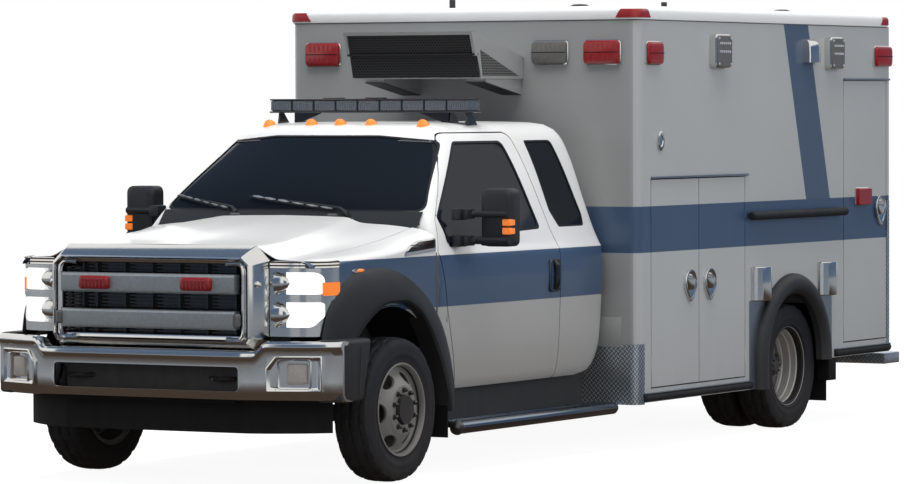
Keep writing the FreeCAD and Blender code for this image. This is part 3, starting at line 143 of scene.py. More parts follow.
links.new(pale.outputs[0], seen.inputs[2])
links.new(seen.outputs[0], out.inputs[0])
floor.data.materials.append(floor_paint)

world = bpy.data.worlds.new("surround")
scene.world = world
world.use_nodes = True
sky, sky_links = world.node_tree.nodes, world.node_tree.links
sky.clear()
sky_out = sky.new("ShaderNodeOutputWorld")
ambient = sky.new("ShaderNodeBackground")
ambient.inputs["Color"].default_value = (0.9, 0.94, 1.0, 1)
ambient.inputs["Strength"].default_value = 0.36
white = sky.new("ShaderNodeBackground")
white.inputs["Color"].default_value = (1, 1, 1, 1)
paths = sky.new("ShaderNodeLightPath")
through = math_node(sky, sky_links, "MAXIMUM", paths.outputs["Is Camera Ray"],
    paths.outputs["Is Transmission Ray"])
shown = math_node(sky, sky_links, "MAXIMUM", through, paths.outputs["Is Glossy Ray"])
choose = sky.new("ShaderNodeMixShader")
sky_links.new(shown, choose.inputs[0])
sky_links.new(ambient.outputs[0], choose.inputs[1])
sky_links.new(white.outputs[0], choose.inputs[2])
sky_links.new(choose.outputs[0], sky_out.inputs[0])


def soft_lamp(name, place, target, across, power, colour):
    lamp = bpy.data.lights.new(name, "AREA")
    lamp.shape = "SQUARE"
    lamp.size = across
    lamp.energy = power
    lamp.color = colour
    holder = bpy.data.objects.new(name, lamp)
    holder.location = place
    holder.rotation_euler = (Vector(target) - Vector(place)).to_track_quat("-Z", "Y").to_euler()
    holder.visible_glossy = False
    scene.collection.objects.link(holder)


soft_lamp("overhead", (0.6, -2.4, 12), (0, -0.5, 0), 10, 1500, (1.0, 0.99, 0.97))
soft_lamp("side_fill", (17, 0.5, 6), (0, 0.5, 1.4), 8, 740, (0.96, 0.98, 1.0))


# Reflection cards: tall dusk-blue boards over a brown lower edge, which only the chrome and
# the glass see, as in a studio where a car's brightwork is drawn with them.
def card(name, place, turn, wide, high, tilt=0.0, paint=None):
    board = bmesh.new()
    bmesh.ops.create_grid(board, x_segments=1, y_segments=1, size=0.5)
    data = bpy.data.meshes.new(name)
    board.to_mesh(data)
    obj = bpy.data.objects.new(name, data)
    obj.matrix_world = (Matrix.Translation(place) @ Matrix.Rotation(turn, 4, "Z")
        @ Matrix.Rotation(math.pi / 2 + tilt, 4, "X") @ Matrix.Diagonal((wide, high, 1, 1)))
    obj.visible_camera = False
    obj.visible_diffuse = False
    obj.visible_transmission = False
    obj.visible_shadow = False
    scene.collection.objects.link(obj)
    obj.data.materials.append(paint or card_paint)


card_paint, nodes, links, out = fresh_material("card_paint")
board_glow = nodes.new("ShaderNodeEmission")
shade = nodes.new("ShaderNodeValToRGB")
steps = shade.color_ramp.elements
steps[0].position = 0.0
steps[0].color = (0.1, 0.07, 0.05, 1)
steps[1].position = 1.0
steps[1].color = (0.3, 0.42, 0.62, 1)
for position, colour in ((0.065, (0.11, 0.085, 0.07, 1)), (0.09, (0.36, 0.4, 0.44, 1)),
        (0.13, (0.14, 0.19, 0.27, 1)), (0.7, (0.09, 0.14, 0.24, 1))):
    step = steps.new(position)
    step.color = colour
place = nodes.new("ShaderNodeTexCoord")
across = nodes.new("ShaderNodeSeparateXYZ")
links.new(place.outputs["Object"], across.inputs[0])
links.new(math_node(nodes, links, "ADD", across.outputs[1], 0.5), shade.inputs[0])
links.new(shade.outputs[0], board_glow.inputs[0])
links.new(board_glow.outputs[0], out.inputs[0])
card("card_front", (-7.5, -15, 3.6), 0.46, 15, 8.4)
card("card_nose", (6.5, -21, 3.6), -0.3, 9, 8.4)
card("card_side", (16, 3, 3.6), -1.45, 16, 8.4)
card("card_tail", (16, 24, 4.6), -0.56, 30, 11.0)
dusk, nodes, links, out = fresh_material("card_dusk")
dusk_glow = nodes.new("ShaderNodeEmission")
dusk_glow.inputs["Color"].default_value = (0.13, 0.185, 0.28, 1)
links.new(dusk_glow.outputs[0], out.inputs[0])
card("card_above", (-7.5, -3, 13), 0.0, 16, 22, -math.pi / 2, dusk)


# Finishes that several pieces share. Each is a Principled surface whose colour drifts a little
# from place to place, with a film of road dust near the ground and a fine grain.
def effect_group(name, inputs, outputs):
    group = bpy.data.node_groups.new(name, "ShaderNodeTree")
    for socket, value in inputs:
        made = group.interface.new_socket(socket, in_out="INPUT", socket_type="NodeSocketFloat")
        made.default_value = value
    for socket, kind in outputs:
        group.interface.new_socket(socket, in_out="OUTPUT", socket_type="NodeSocket" + kind)
    start = group.nodes.new("NodeGroupInput")
    end = group.nodes.new("NodeGroupOutput")
    return group, group.nodes, group.links, start, end


def noise_at(nodes, links, scale, detail, stretch=None):
    """A noise on Object coordinates; stretch squeezes it along an axis."""
    place = nodes.new("ShaderNodeTexCoord")
    noise = nodes.new("ShaderNodeTexNoise")
    noise.inputs["Detail"].default_value = detail
    source = place.outputs["Object"]
    if stretch:
        mapping = nodes.new("ShaderNodeMapping")
        mapping.inputs["Scale"].default_value = stretch
        links.new(source, mapping.inputs[0])
        source = mapping.outputs[0]
    links.new(source, noise.inputs["Vector"])
    if isinstance(scale, (int, float)):
        noise.inputs["Scale"].default_value = scale
    else:
        links.new(scale, noise.inputs["Scale"])
    return noise.outputs["Fac"]


# mottle: a factor round 1 that drifts over the surface.
mottle, nodes, links, start, end = effect_group("mottle", (("Scale", 3.0), ("Amount", 0.05)),
    (("Factor", "Float"),))
maths = partial(math_node, nodes, links)
drift = maths("SUBTRACT", noise_at(nodes, links, start.outputs["Scale"], 4), 0.5)
swing = maths("MULTIPLY", drift, start.outputs["Amount"])
links.new(maths("ADD", maths("MULTIPLY", swing, 2.0), 1.0), end.inputs["Factor"])

# road film: dust that thins out upwards and gathers in streaks.
film, nodes, links, start, end = effect_group("road_film", (("Top", 0.9), ("Amount", 0.3)),
    (("Mask", "Float"),))
maths = partial(math_node, nodes, links)
place = nodes.new("ShaderNodeTexCoord")
height = nodes.new("ShaderNodeSeparateXYZ")
links.new(place.outputs["Object"], height.inputs[0])
fall = nodes.new("ShaderNodeMapRange")
links.new(height.outputs["Z"], fall.inputs["Value"])
fall.inputs["From Min"].default_value = 0.05
links.new(start.outputs["Top"], fall.inputs["From Max"])
fall.inputs["To Min"].default_value = 1.0
fall.inputs["To Max"].default_value = 0.0
streaks = noise_at(nodes, links, 5.0, 5, (3.0, 3.0, 0.5))
uneven = maths("MULTIPLY", fall.outputs[0], streaks)
links.new(maths("MULTIPLY", uneven, start.outputs["Amount"]), end.inputs["Mask"])

# fine grain: the normal of a moulded or sprayed surface.
grain, nodes, links, start, end = effect_group("fine_grain", (("Scale", 400.0), ("Depth", 0.001)),
    (("Normal", "Vector"),))
bump = nodes.new("ShaderNodeBump")
bump.inputs["Strength"].default_value = 1.0
links.new(start.outputs["Depth"], bump.inputs["Distance"])
links.new(noise_at(nodes, links, start.outputs["Scale"], 2), bump.inputs["Height"])
links.new(bump.outputs[0], end.inputs["Normal"])

# between: 1 where the value lies from low to high, for painted bands.
between, nodes, links, start, end = effect_group("between", (("Value", 0.0), ("Low", 0.0), ("High", 1.0)),
    (("Mask", "Float"),))
maths = partial(math_node, nodes, links)
above = maths("GREATER_THAN", start.outputs["Value"], start.outputs["Low"])
under = maths("LESS_THAN", start.outputs["Value"], start.outputs["High"])
links.new(maths("MULTIPLY", above, under), end.inputs["Mask"])

DUST = (0.22, 0.19, 0.16, 1)


def use_group(nodes, links, group, **values):
    node = nodes.new("ShaderNodeGroup")
    node.node_tree = group
    for socket, value in values.items():
        if isinstance(value, (int, float)):
            node.inputs[socket].default_value = value
        else:
            links.new(value, node.inputs[socket])
    return node.outputs[0]


def mix_colour(nodes, links, factor, first, second, blend="MIX"):
    node = nodes.new("ShaderNodeMix")
    node.data_type = "RGBA"
    node.blend_type = blend
    for index, value in ((0, factor), (6, first), (7, second)):
        socket = node.inputs[index]
        if isinstance(value, (int, float, tuple)):
            socket.default_value = value
        else:
            links.new(value, socket)
    return node.outputs[2]


def finish(name, colour, rough, metal=0.0, coat=0.0, drift=(2.5, 0.06), dust=(0.9, 0.35),
        grained=(500.0, 0.0002), bands=None, extra=None):
    """A finish from its plain colour; bands(nodes, links, colour) lays painted bands on it."""
    material, nodes, links, out = fresh_material(name)
    surface = nodes.new("ShaderNodeBsdfPrincipled")
    surface.inputs["Metallic"].default_value = metal
    surface.inputs["Coat Weight"].default_value = coat
    surface.inputs["Coat Roughness"].default_value = 0.08
    if extra:
        for socket, value in extra.items():
            surface.inputs[socket].default_value = value
    shade = bands(nodes, links, colour) if bands else colour
    factor = use_group(nodes, links, mottle, Scale=drift[0], Amount=drift[1])
    shade = mix_colour(nodes, links, 1.0, shade, factor, "MULTIPLY")
    dusty = use_group(nodes, links, film, Top=dust[0], Amount=dust[1])
    links.new(mix_colour(nodes, links, dusty, shade, DUST), surface.inputs["Base Color"])
    worn = use_group(nodes, links, mottle, Scale=drift[0] * 3, Amount=0.12)
    duller = math_node(nodes, links, "ADD", math_node(nodes, links, "MULTIPLY", worn, rough),
        math_node(nodes, links, "MULTIPLY", dusty, 0.4))
    links.new(duller, surface.inputs["Roughness"])
    links.new(use_group(nodes, links, grain, Scale=grained[0], Depth=grained[1]), surface.inputs["Normal"])
    links.new(surface.outputs[0], out.inputs[0])
    return material


def height_of(nodes, links):
    place = nodes.new("ShaderNodeTexCoord")
    split = nodes.new("ShaderNodeSeparateXYZ")
    links.new(place.outputs["Object"], split.inputs[0])
    return split.outputs


axle_y = next(joint["pos_m"][1] for joint in frame["joints"] if joint["name"] == "steer_left")
belt_z, stripe_z = 1.248, 0.955
NAVY = (0.046, 0.084, 0.16, 1)


def cab_bands_and_shade(nodes, links, colour):
    place = height_of(nodes, links)
    band = use_group(nodes, links, between, Value=place["Z"], Low=stripe_z, High=belt_z)
    # Below the stripe the paint is a grey-white, laid darker still as painted shade on the lower sides of
    # the cab.
    below = use_group(nodes, links, between, Value=place["Z"], Low=-1.0, High=stripe_z)
    shade = mix_colour(nodes, links, below, colour, (0.42, 0.415, 0.41, 1))
    return mix_colour(nodes, links, band, shade, NAVY)


def module_bands_and_shade(nodes, links, colour):
    """The waist stripe all round, the stripe that leans back from the roof down to it, and a darker painted
    shade laid over the front wall.
    """
    maths = partial(math_node, nodes, links)
    masked = partial(use_group, nodes, links, between)
    place = height_of(nodes, links)
    band = masked(Value=place["Z"], Low=1.201, High=1.482)
    drop = maths("MULTIPLY", place["Z"], 0.3)
    lean = maths("ADD", place["Y"], drop)
    slant = masked(Value=lean, Low=axle_y + 4.673 + 0.78, High=axle_y + 5.042 + 0.78)
    upper = masked(Value=place["Z"], Low=1.482, High=2.62)
    wide = maths("ABSOLUTE", place["X"], 0.0)
    side = masked(Value=wide, Low=1.2, High=1.3)
    slant = maths("MULTIPLY", slant, upper)
    slant = maths("MULTIPLY", slant, side)
    # The front wall is painted a darker grey than the sides: painted shade on the face turned away from the
    # light.
    front = masked(Value=place["Y"], Low=-4.0, High=axle_y + 2.612)
    shade = mix_colour(nodes, links, front, colour, (0.33, 0.34, 0.34, 1))
    shade = mix_colour(nodes, links, slant, shade, (0.063, 0.098, 0.165, 1))
    return mix_colour(nodes, links, band, shade, NAVY)


cab_paint = finish("cab_paint", (0.8, 0.8, 0.8, 1), 0.32, coat=0.5, drift=(1.2, 0.015), dust=(0.85, 0.2),
    bands=cab_bands_and_shade)
module_paint = finish("module_paint", (0.47, 0.485, 0.49, 1), 0.42, coat=0.25, drift=(1.6, 0.05),
    dust=(0.9, 0.3), bands=module_bands_and_shade)
cap_paint = finish("cap_paint", (0.88, 0.89, 0.9, 1), 0.45, drift=(2.0, 0.05), dust=(0.5, 0.0))
chrome = finish("chrome", (0.7, 0.69, 0.67, 1), 0.13, metal=1.0, drift=(6.0, 0.05), dust=(0.8, 0.22),
    grained=(50.0, 0.00006))
galvanised = finish("galvanised", (0.42, 0.45, 0.46, 1), 0.42, metal=0.75, drift=(55.0, 0.22),
    dust=(0.8, 0.2), grained=(140.0, 0.0006))
black_plastic = finish("black_plastic", (0.017, 0.019, 0.022, 1), 0.5, drift=(4.0, 0.15), dust=(0.9, 0.25),
    grained=(650.0, 0.0008))
deep_black = finish("deep_black", (0.007, 0.007, 0.008, 1), 0.7, drift=(4.0, 0.2), dust=(0.6, 0.12),
    grained=(500.0, 0.0008), extra={"Specular IOR Level": 0.2})
gloss_black = finish("gloss_black", (0.012, 0.012, 0.014, 1), 0.18, coat=0.6, drift=(5.0, 0.1),
    dust=(0.8, 0.2))
rubber = finish("rubber", (0.009, 0.01, 0.013, 1), 0.7, drift=(6.0, 0.2), dust=(0.8, 0.14),
    grained=(300.0, 0.001))
chassis_steel = finish("chassis_steel", (0.022, 0.022, 0.024, 1), 0.55, metal=0.3, drift=(8.0, 0.3),
    dust=(1.1, 0.5), grained=(220.0, 0.001))
cast_iron = finish("cast_iron", (0.1, 0.1, 0.105, 1), 0.65, metal=0.6, drift=(9.0, 0.3), dust=(1.1, 0.4),
    grained=(160.0, 0.002))
wheel_steel = finish("wheel_steel", (0.235, 0.23, 0.22, 1), 0.5, metal=0.15, drift=(7.0, 0.12),
    dust=(0.8, 0.35), grained=(260.0, 0.0006))
inner_grey = finish("inner_grey", (0.11, 0.11, 0.115, 1), 0.6, drift=(5.0, 0.1), dust=(0.9, 0.1),
    grained=(500.0, 0.001))


def dish_light_and_shade(nodes, links, colour):
    """A painted highlight on the barrel round the deep disc of the outer rear wheel, whose own colour is
    painted darker as shade.
    """
    place = height_of(nodes, links)
    wide = math_node(nodes, links, "ABSOLUTE", place["X"], 0.0)
    lit_barrel = use_group(nodes, links, between, Value=wide, Low=0.995, High=1.3)
    return mix_colour(nodes, links, lit_barrel, colour, (0.5, 0.48, 0.45, 1))


# The disc's steel is laid darker than the front rims' as painted shade, and its barrel band is a painted
# highlight.
dish_steel = finish("dish_steel", (0.13, 0.127, 0.12, 1), 0.45, metal=0.15, drift=(7.0, 0.12),
    dust=(0.5, 0.15), grained=(260.0, 0.0006), bands=dish_light_and_shade)
trim_plastic = finish("trim_plastic", (0.035, 0.036, 0.039, 1), 0.6, drift=(5.0, 0.1), dust=(0.9, 0.1),
    grained=(500.0, 0.001))
board = finish("cabinet_board", (0.62, 0.62, 0.6, 1), 0.4, drift=(3.0, 0.04), dust=(0.9, 0.1),
    grained=(300.0, 0.0003))
dark_glass = finish("dark_glass", (0.01, 0.013, 0.019, 1), 0.07, drift=(1.0, 0.05), dust=(0.4, 0.1),
    grained=(2.0, 0.0001), extra={"Specular IOR Level": 0.1, "Transmission Weight": 0.06})


def lens(name, colour, glow, rough=0.25, coat=0.6):
    """A moulded lens: clear colour that seems lit from its own depth."""
    return finish(name, colour, rough, coat=coat, drift=(60.0, 0.25), dust=(0.6, 0.1),
        grained=(90.0, 0.0015), extra={"Emission Color": colour, "Emission Strength": glow})


red_lens = lens("red_lens", (0.27, 0.006, 0.008, 1), 0.04, 0.3, 0.3)
amber_lens = lens("amber_lens", (0.85, 0.2, 0.02, 1), 0.55)
clear_lens = lens("clear_lens", (0.62, 0.66, 0.7, 1), 0.0, 0.2)
lamp_white = lens("lamp_white", (0.95, 0.96, 0.98, 1), 0.9, 0.1)
smoke_lens = lens("smoke_lens", (0.1, 0.12, 0.145, 1), 0.0, 0.35, 0.3)
dull_lens = lens("dull_lens", (0.13, 0.125, 0.12, 1), 0.0, 0.4, 0.2)
fog_lens = lens("fog_lens", (0.36, 0.33, 0.31, 1), 0.15, 0.4, 0.2)
running_steel = finish("running_steel", (0.24, 0.27, 0.31, 1), 0.16, metal=1.0, drift=(6.0, 0.05),
    dust=(0.4, 0.15), grained=(50.0, 0.00006))

node_finish = {"cab_shell": inner_grey, "cab_door_left": trim_plastic, "cab_door_right": trim_plastic,
    "hood": cab_paint, "fenders": cab_paint, "roof_cap": cap_paint, "condenser": module_paint,
    "module_interior": board, "powertrain": cast_iron, "dashboard": trim_plastic, "side_fittings": chrome,
    "grille": chrome, "bumper": chrome, "air_dam": deep_black, "mud_flaps": deep_black,}
slot_finish = {"tyre_rubber": rubber, "wheel_steel": wheel_steel, "chassis_steel": chassis_steel,
    "engine_iron": cast_iron, "tank_steel": chassis_steel, "module_paint": module_paint,
    "cab_paint": cab_paint, "dark_glass": dark_glass, "red_lens": red_lens, "clear_lens": clear_lens,
    "amber_lens": amber_lens, "black_rubber": rubber, "tread_plate": galvanised, "cabinet_board": board,
    "bench_vinyl": trim_plastic, "seat_cloth": trim_plastic, "dash_plastic": trim_plastic,
    "black_plastic": black_plastic, "bright_chrome": chrome,}
for part in frame["record"]["subparts"]:
    node = bpy.data.objects[part["node"]]
    for slot in node.material_slots:
        slot.material = node_finish.get(part["node"], slot_finish[part["material_slot"]])


# Cab body: pressed steel, spot-welded, with a screen that leans back, sides that fold in above
# the belt and a crowned roof. One smooth skin is drawn and its openings are sawn out of it.
def grid_piece(columns, rows, place):
    """A sheet whose corner (i, j) of columns by rows stands at place(i, j)."""
    shape = bmesh.new()
    bmesh.ops.create_grid(shape, x_segments=columns, y_segments=rows, size=0.5)
    for corner in shape.verts:
        corner.co = place(round((corner.co.x + 0.5) * columns), round((corner.co.y + 0.5) * rows))
    bmesh.ops.remove_doubles(shape, verts=shape.verts, dist=1e-5)
    return shape


def block(x, y, z):
    """A box between two corners."""
    shape = bmesh.new()
    bmesh.ops.create_cube(shape, size=1)
    middle = Vector(((x[0] + x[1]) / 2, (y[0] + y[1]) / 2, (z[0] + z[1]) / 2))
    for corner in shape.verts:
        corner.co = middle + Vector((corner.co.x * (x[1] - x[0]), corner.co.y * (y[1] - y[0]),
            corner.co.z * (z[1] - z[0])))
    return shape


def at(x, y, z):
    """A point whose Y is written from the front axle."""
    return Vector((x, axle_y + y, z))


def stock(x, y, z):
    """A box whose Y is written from the front axle."""
    return block(x, (axle_y + y[0], axle_y + y[1]), z)


def slab(outline, place, low, high):
    """A prism: place(u, v, w) stands the outline's (u, v) at depth w, from low to high."""
    shape = bmesh.new()
    ring = [shape.verts.new(place(u, v, low)) for u, v in outline]
    base = shape.faces.new(ring)
    pushed = bmesh.ops.extrude_face_region(shape, geom=[base])["geom"]
    for corner, (u, v) in zip([item for item in pushed if isinstance(item, bmesh.types.BMVert)], outline):
        corner.co = corner.co + place(u, v, high) - place(u, v, low)
    bmesh.ops.recalc_face_normals(shape, faces=shape.faces)
    return shape


def softened(shape, width, segments=2, angle=30):
    """Bevel every edge that turns by more than angle."""
    sharp = [edge for edge in shape.edges if len(edge.link_faces) == 2
        and edge.calc_face_angle(0) > math.radians(angle)]
    bmesh.ops.bevel(shape, geom=sharp, offset=width, offset_type="OFFSET", segments=segments, profile=0.5,
        affect="EDGES", material=-1, clamp_overlap=True)
    return shape


def joined(*shapes):
    """Several shapes in one, each kept whole."""
    whole = bmesh.new()
    data = bpy.data.meshes.new("joining")
    for shape in shapes:
        shape.to_mesh(data)
        whole.from_mesh(data)
        shape.free()
    bpy.data.meshes.remove(data)
    return whole


def reflected(shape):
    """A copy of the shape, turned over to the other side."""
    other = shape.copy()
    bmesh.ops.scale(other, vec=(-1, 1, 1), verts=other.verts)
    bmesh.ops.reverse_faces(other, faces=other.faces)
    return other


def mirrored(shape):
    """The shape and its reflection on the other side."""
    return joined(shape, reflected(shape))


def sawn(shape, tool, way="DIFFERENCE"):
    """The shape without the tool's room, or with only what lies in it."""
    holders = []
    for part in (shape, tool):
        data = bpy.data.meshes.new("sawn")
        part.to_mesh(data)
        part.free()
        holder = bpy.data.objects.new("sawn", data)
        scene.collection.objects.link(holder)
        holders.append(holder)
    saw = holders[0].modifiers.new("saw", "BOOLEAN")
    saw.operation = way
    saw.solver = "EXACT"
    saw.use_self = False
    saw.object = holders[1]
    depsgraph = bpy.context.evaluated_depsgraph_get()
    result = bmesh.new()
    result.from_mesh(holders[0].evaluated_get(depsgraph).to_mesh())
    for holder in holders:
        data = holder.data
        bpy.data.objects.remove(holder)
        bpy.data.meshes.remove(data)
    bmesh.ops.remove_doubles(result, verts=result.verts, dist=1e-5)
    bmesh.ops.dissolve_degenerate(result, edges=result.edges, dist=1e-5)
    return result


def thick(shape, depth):
    """A sheet given a wall on its inner side."""
    bmesh.ops.recalc_face_normals(shape, faces=shape.faces)
    bmesh.ops.solidify(shape, geom=shape.faces[:] + shape.edges[:] + shape.verts[:], thickness=depth)
    bmesh.ops.recalc_face_normals(shape, faces=shape.faces)
    return shape


def piece(name, shape, material, slot, body="chassis", smooth=32):
    """A finished piece, smooth up to an angle, painted and riding on its body."""
    data = bpy.data.meshes.new(name)
    shape.to_mesh(data)
    shape.free()
    data.polygons.foreach_set("use_smooth", [True] * len(data.polygons))
    data.set_sharp_from_angle(angle=math.radians(smooth))
    obj = bpy.data.objects.new(name, data)
    scene.collection.objects.link(obj)
    data.materials.append(material)
    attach(obj, body)
    return obj


def on_both_doors(*rows):
    """The pieces of (name, shape, material, slot) rows on each cab door, as (side, piece)."""
    shapes = {"left": [row[1] for row in rows], "right": [reflected(row[1]) for row in rows]}
    return [(side, piece(name + side, shape, material, slot, "cab_door_" + side)) for side in shapes
        for (name, _, material, slot), shape in zip(rows, shapes[side])]


def eased(values, spots, spot):
    """A smooth curve through the values at the rising spots, which never overshoots."""
    last = len(spots) - 1
    step = max(0, min(last - 1, sum(1 for each in spots[1:-1] if spot >= each)))
    slopes = [(values[k + 1] - values[k]) / (spots[k + 1] - spots[k]) for k in range(last)]

    def tangent(k):
        if k == 0:
            return slopes[0]
        if k == last:
            return slopes[-1]
        if slopes[k - 1] * slopes[k] <= 0:
            return 0.0
        return 2 * slopes[k - 1] * slopes[k] / (slopes[k - 1] + slopes[k])
    span = spots[step + 1] - spots[step]
    t = max(0.0, min(1.0, (spot - spots[step]) / span))
    return ((2 * t ** 3 - 3 * t ** 2 + 1) * values[step] + (t ** 3 - 2 * t ** 2 + t) * span * tangent(step)
        + (3 * t ** 2 - 2 * t ** 3) * values[step + 1] + (t ** 3 - t ** 2) * span * tangent(step + 1))


def rounded_outline(points, radius, steps=5):
    """An outline whose corners are arcs; each point may carry its own radius."""
    result = []
    for number, point in enumerate(points):
        here = Vector(point[:2])
        size = point[2] if len(point) > 2 else radius
        before = Vector(points[number - 1][:2]) - here
        after = Vector(points[(number + 1) % len(points)][:2]) - here
        half = before.angle(after) / 2
        run = min(size / math.tan(half), before.length * 0.48, after.length * 0.48)
        start = here + before.normalized() * run
        end = here + after.normalized() * run
        for k in range(steps + 1):
            t = k / steps
            result.append(tuple(start.lerp(here, t).lerp(here.lerp(end, t), t)))
    return result


# A level is (Z, half width in front, half width behind, Y of the front at its middle and at its
# side, Y of the rear), Y from the front axle.
cab_levels = ((0.478, 0.955, 0.955, 0.512, 0.512, 2.335), (0.5, 0.972, 0.972, 0.512, 0.512, 2.44),
    (0.57, 0.987, 0.987, 0.512, 0.512, 2.515), (0.68, 1.0, 1.0, 0.512, 0.512, 2.552),
    (0.955, 1.012, 1.012, 0.512, 0.512, 2.567), (1.1, 1.018, 1.018, 0.512, 0.512, 2.572),
    (1.248, 1.008, 1.008, 0.512, 0.512, 2.572), (1.262, 1.001, 1.0, 0.512, 0.514, 2.57),
    (1.352, 0.972, 0.966, 0.512, 0.532, 2.55), (1.472, 0.918, 0.932, 0.545, 0.6, 2.525),
    (1.883, 0.722, 0.806, 0.918, 1.09, 2.455), (1.952, 0.676, 0.756, 1.01, 1.165, 2.43),
    (1.982, 0.62, 0.706, 1.1, 1.23, 2.395), (1.994, 0.545, 0.64, 1.2, 1.3, 2.345),)
level_heights = [level[0] for level in cab_levels]
FRONT, CORNER, SIDE, HEEL, BACK = 9, 6, 30, 6, 5


def half_ring(z, inset):
    """The right-hand half of the cab's plan at z, from the front's middle to the rear's."""
    x_front, x_rear, y_middle, y_side, y_rear = [eased([level[k] for level in cab_levels], level_heights, z)
        for k in range(1, 6)]
    x_front, x_rear, y_rear = x_front - inset, x_rear - inset, y_rear - inset
    y_middle, y_side = y_middle + inset, y_side + inset
    nose_round = 0.05 + 0.03 * max(0.0, min(1.0, (z - 1.3) / 0.5))
    heel_round = 0.07
    points = []
    corner_x = x_front - nose_round
    for k in range(FRONT):
        x = corner_x * k / FRONT
        points.append(Vector((x, y_middle + (y_side - y_middle) * (x / x_front) ** 2, z)))
    front_y = y_middle + (y_side - y_middle) * (corner_x / x_front) ** 2
    start, peak = Vector((corner_x, front_y, z)), Vector((x_front, y_side, z))
    side_start = Vector((x_front, y_side + nose_round * 1.2, z))
    for k in range(CORNER):
        t = k / CORNER
        points.append(start.lerp(peak, t).lerp(peak.lerp(side_start, t), t))
    side_end = Vector((x_rear, y_rear - heel_round, z))
    for k in range(SIDE):
        t = k / SIDE
        bow = 0.01 * math.sin(math.pi * t)
        points.append(side_start.lerp(side_end, t) + Vector((bow, 0, 0)))
    peak, back_start = Vector((x_rear, y_rear, z)), Vector((x_rear - heel_round, y_rear, z))
    for k in range(HEEL):
        t = k / HEEL
        points.append(side_end.lerp(peak, t).lerp(peak.lerp(back_start, t), t))
    for k in range(BACK + 1):
        points.append(back_start.lerp(Vector((0, y_rear, z)), k / BACK))
    return points


def cab_skin(inset, low=0.478):
    heights = []
    for lower, upper in zip(level_heights, level_heights[1:]):
        parts = max(1, round((upper - lower) / 0.035))
        heights += [lower + (upper - lower) * k / parts for k in range(parts)]
    heights = [z for z in heights + [level_heights[-1]] if z >= low]
    rings = []
    for z in heights:
        right = half_ring(z, inset)
        rings.append(right + [Vector((-p.x, p.y, p.z)) for p in right[-2:0:-1]])
    top = rings[-1]
    middle = Vector((0, sum(p.y for p in top) / len(top), 0))
    for shrink, rise in ((0.93, 0.0035), (0.8, 0.0065), (0.55, 0.0095), (0.28, 0.011)):
        rings.append([Vector((p.x * shrink, middle.y + (p.y - middle.y) * shrink, p.z + rise)) for p in top])
    around = len(top)
    shape = grid_piece(around, len(rings) - 1, lambda i, j: rings[j][i % around] + Vector((0, axle_y, 0)))
    rim = [edge for edge in shape.edges if len(edge.link_faces) == 1 and edge.verts[0].co.z > 1.9]
    bmesh.ops.holes_fill(shape, edges=rim)
    return shape


def side_place(u, v, w):
    return Vector((w, u + axle_y, v))


def front_place(u, v, w):
    return Vector((u, w + axle_y, v))


def grown_outline(points, by):
    """The outline with every corner moved away from its middle along its two edges."""
    result = []
    for number, point in enumerate(points):
        here = Vector(point[:2])
        before = (here - Vector(points[number - 1][:2])).normalized()
        after = (Vector(points[(number + 1) % len(points)][:2]) - here).normalized()
        normal_a = Vector((before.y, -before.x))
        normal_b = Vector((after.y, -after.x))
        bend = (normal_a + normal_b).normalized()
        result.append(tuple(here + bend * by / max(0.3, bend.dot(normal_a))) + tuple(point[2:]))
    return result


door_seam = [(0.775, 0.47, 0.05), (1.975, 0.47, 0.05), (1.975, 1.248, 0.01), (1.932, 1.372, 0.05),
    (1.815, 1.935, 0.07), (1.135, 1.935, 0.09), (0.63, 1.44, 0.05), (0.548, 1.262, 0.02),
    (0.634, 0.927, 0.2)]
window_edge = [(0.688, 1.288, 0.02), (1.3, 1.352, 0.3), (1.82, 1.368, 0.03), (1.706, 1.89, 0.05),
    (1.2, 1.89, 0.08), (0.655, 1.462, 0.03)]
quarter_edge = [(2.058, 1.372, 0.03), (2.388, 1.372, 0.025), (2.398, 1.44, 0.05), (2.262, 1.89, 0.045),
    (1.952, 1.89, 0.02), (1.992, 1.47, 0.05)]
screen_edge = [(-0.885, 1.492, 0.04), (0.885, 1.492, 0.04), (0.7, 1.895, 0.07), (0.35, 1.926, 0.4),
    (-0.35, 1.926, 0.4), (-0.7, 1.895, 0.07)]
SAW_X = (0.5, 1.2)
WHEEL_Z = 0.405


def side_tool(outline, radius=0.03):
    return slab(rounded_outline(outline, radius), side_place, *SAW_X)


def screen_tool(by=0.0):
    return slab(rounded_outline(grown_outline(screen_edge, by), 0.05), front_place, 0.3, 1.45)


skin = thick(cab_skin(-0.003), 0.004)
windows = joined(mirrored(joined(side_tool(window_edge), side_tool(quarter_edge))), screen_tool())
glazed = sawn(skin, windows)
whole = glazed.copy()
shell_skin = sawn(glazed, mirrored(side_tool(grown_outline(door_seam, 0.007))))
piece("cab_skin", shell_skin, cab_paint, "cab_paint")
door_skin = sawn(whole, side_tool(door_seam), "INTERSECT")
on_both_doors(("door_skin_", door_skin, cab_paint, "cab_paint"))

# Cab glass: curved panes, tinted dark, which are bonded flush into their openings over a black
# border.
pane_sheet = thick(cab_skin(0.0035, 1.2), 0.005)
screen_pane = sawn(pane_sheet.copy(), screen_tool(0.004), "INTERSECT")
quarter_panes = sawn(pane_sheet.copy(), mirrored(side_tool(grown_outline(quarter_edge, 0.004))), "INTERSECT")
fixed_panes = piece("cab_panes", joined(screen_pane, quarter_panes), dark_glass, "dark_glass")
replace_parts(fixed_panes, "cab_glass")
door_pane = sawn(pane_sheet, side_tool(grown_outline(window_edge, 0.004)), "INTERSECT")
for side, holder in on_both_doors(("door_pane_", door_pane, dark_glass, "dark_glass")):
    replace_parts(holder, "door_glass_" + side)

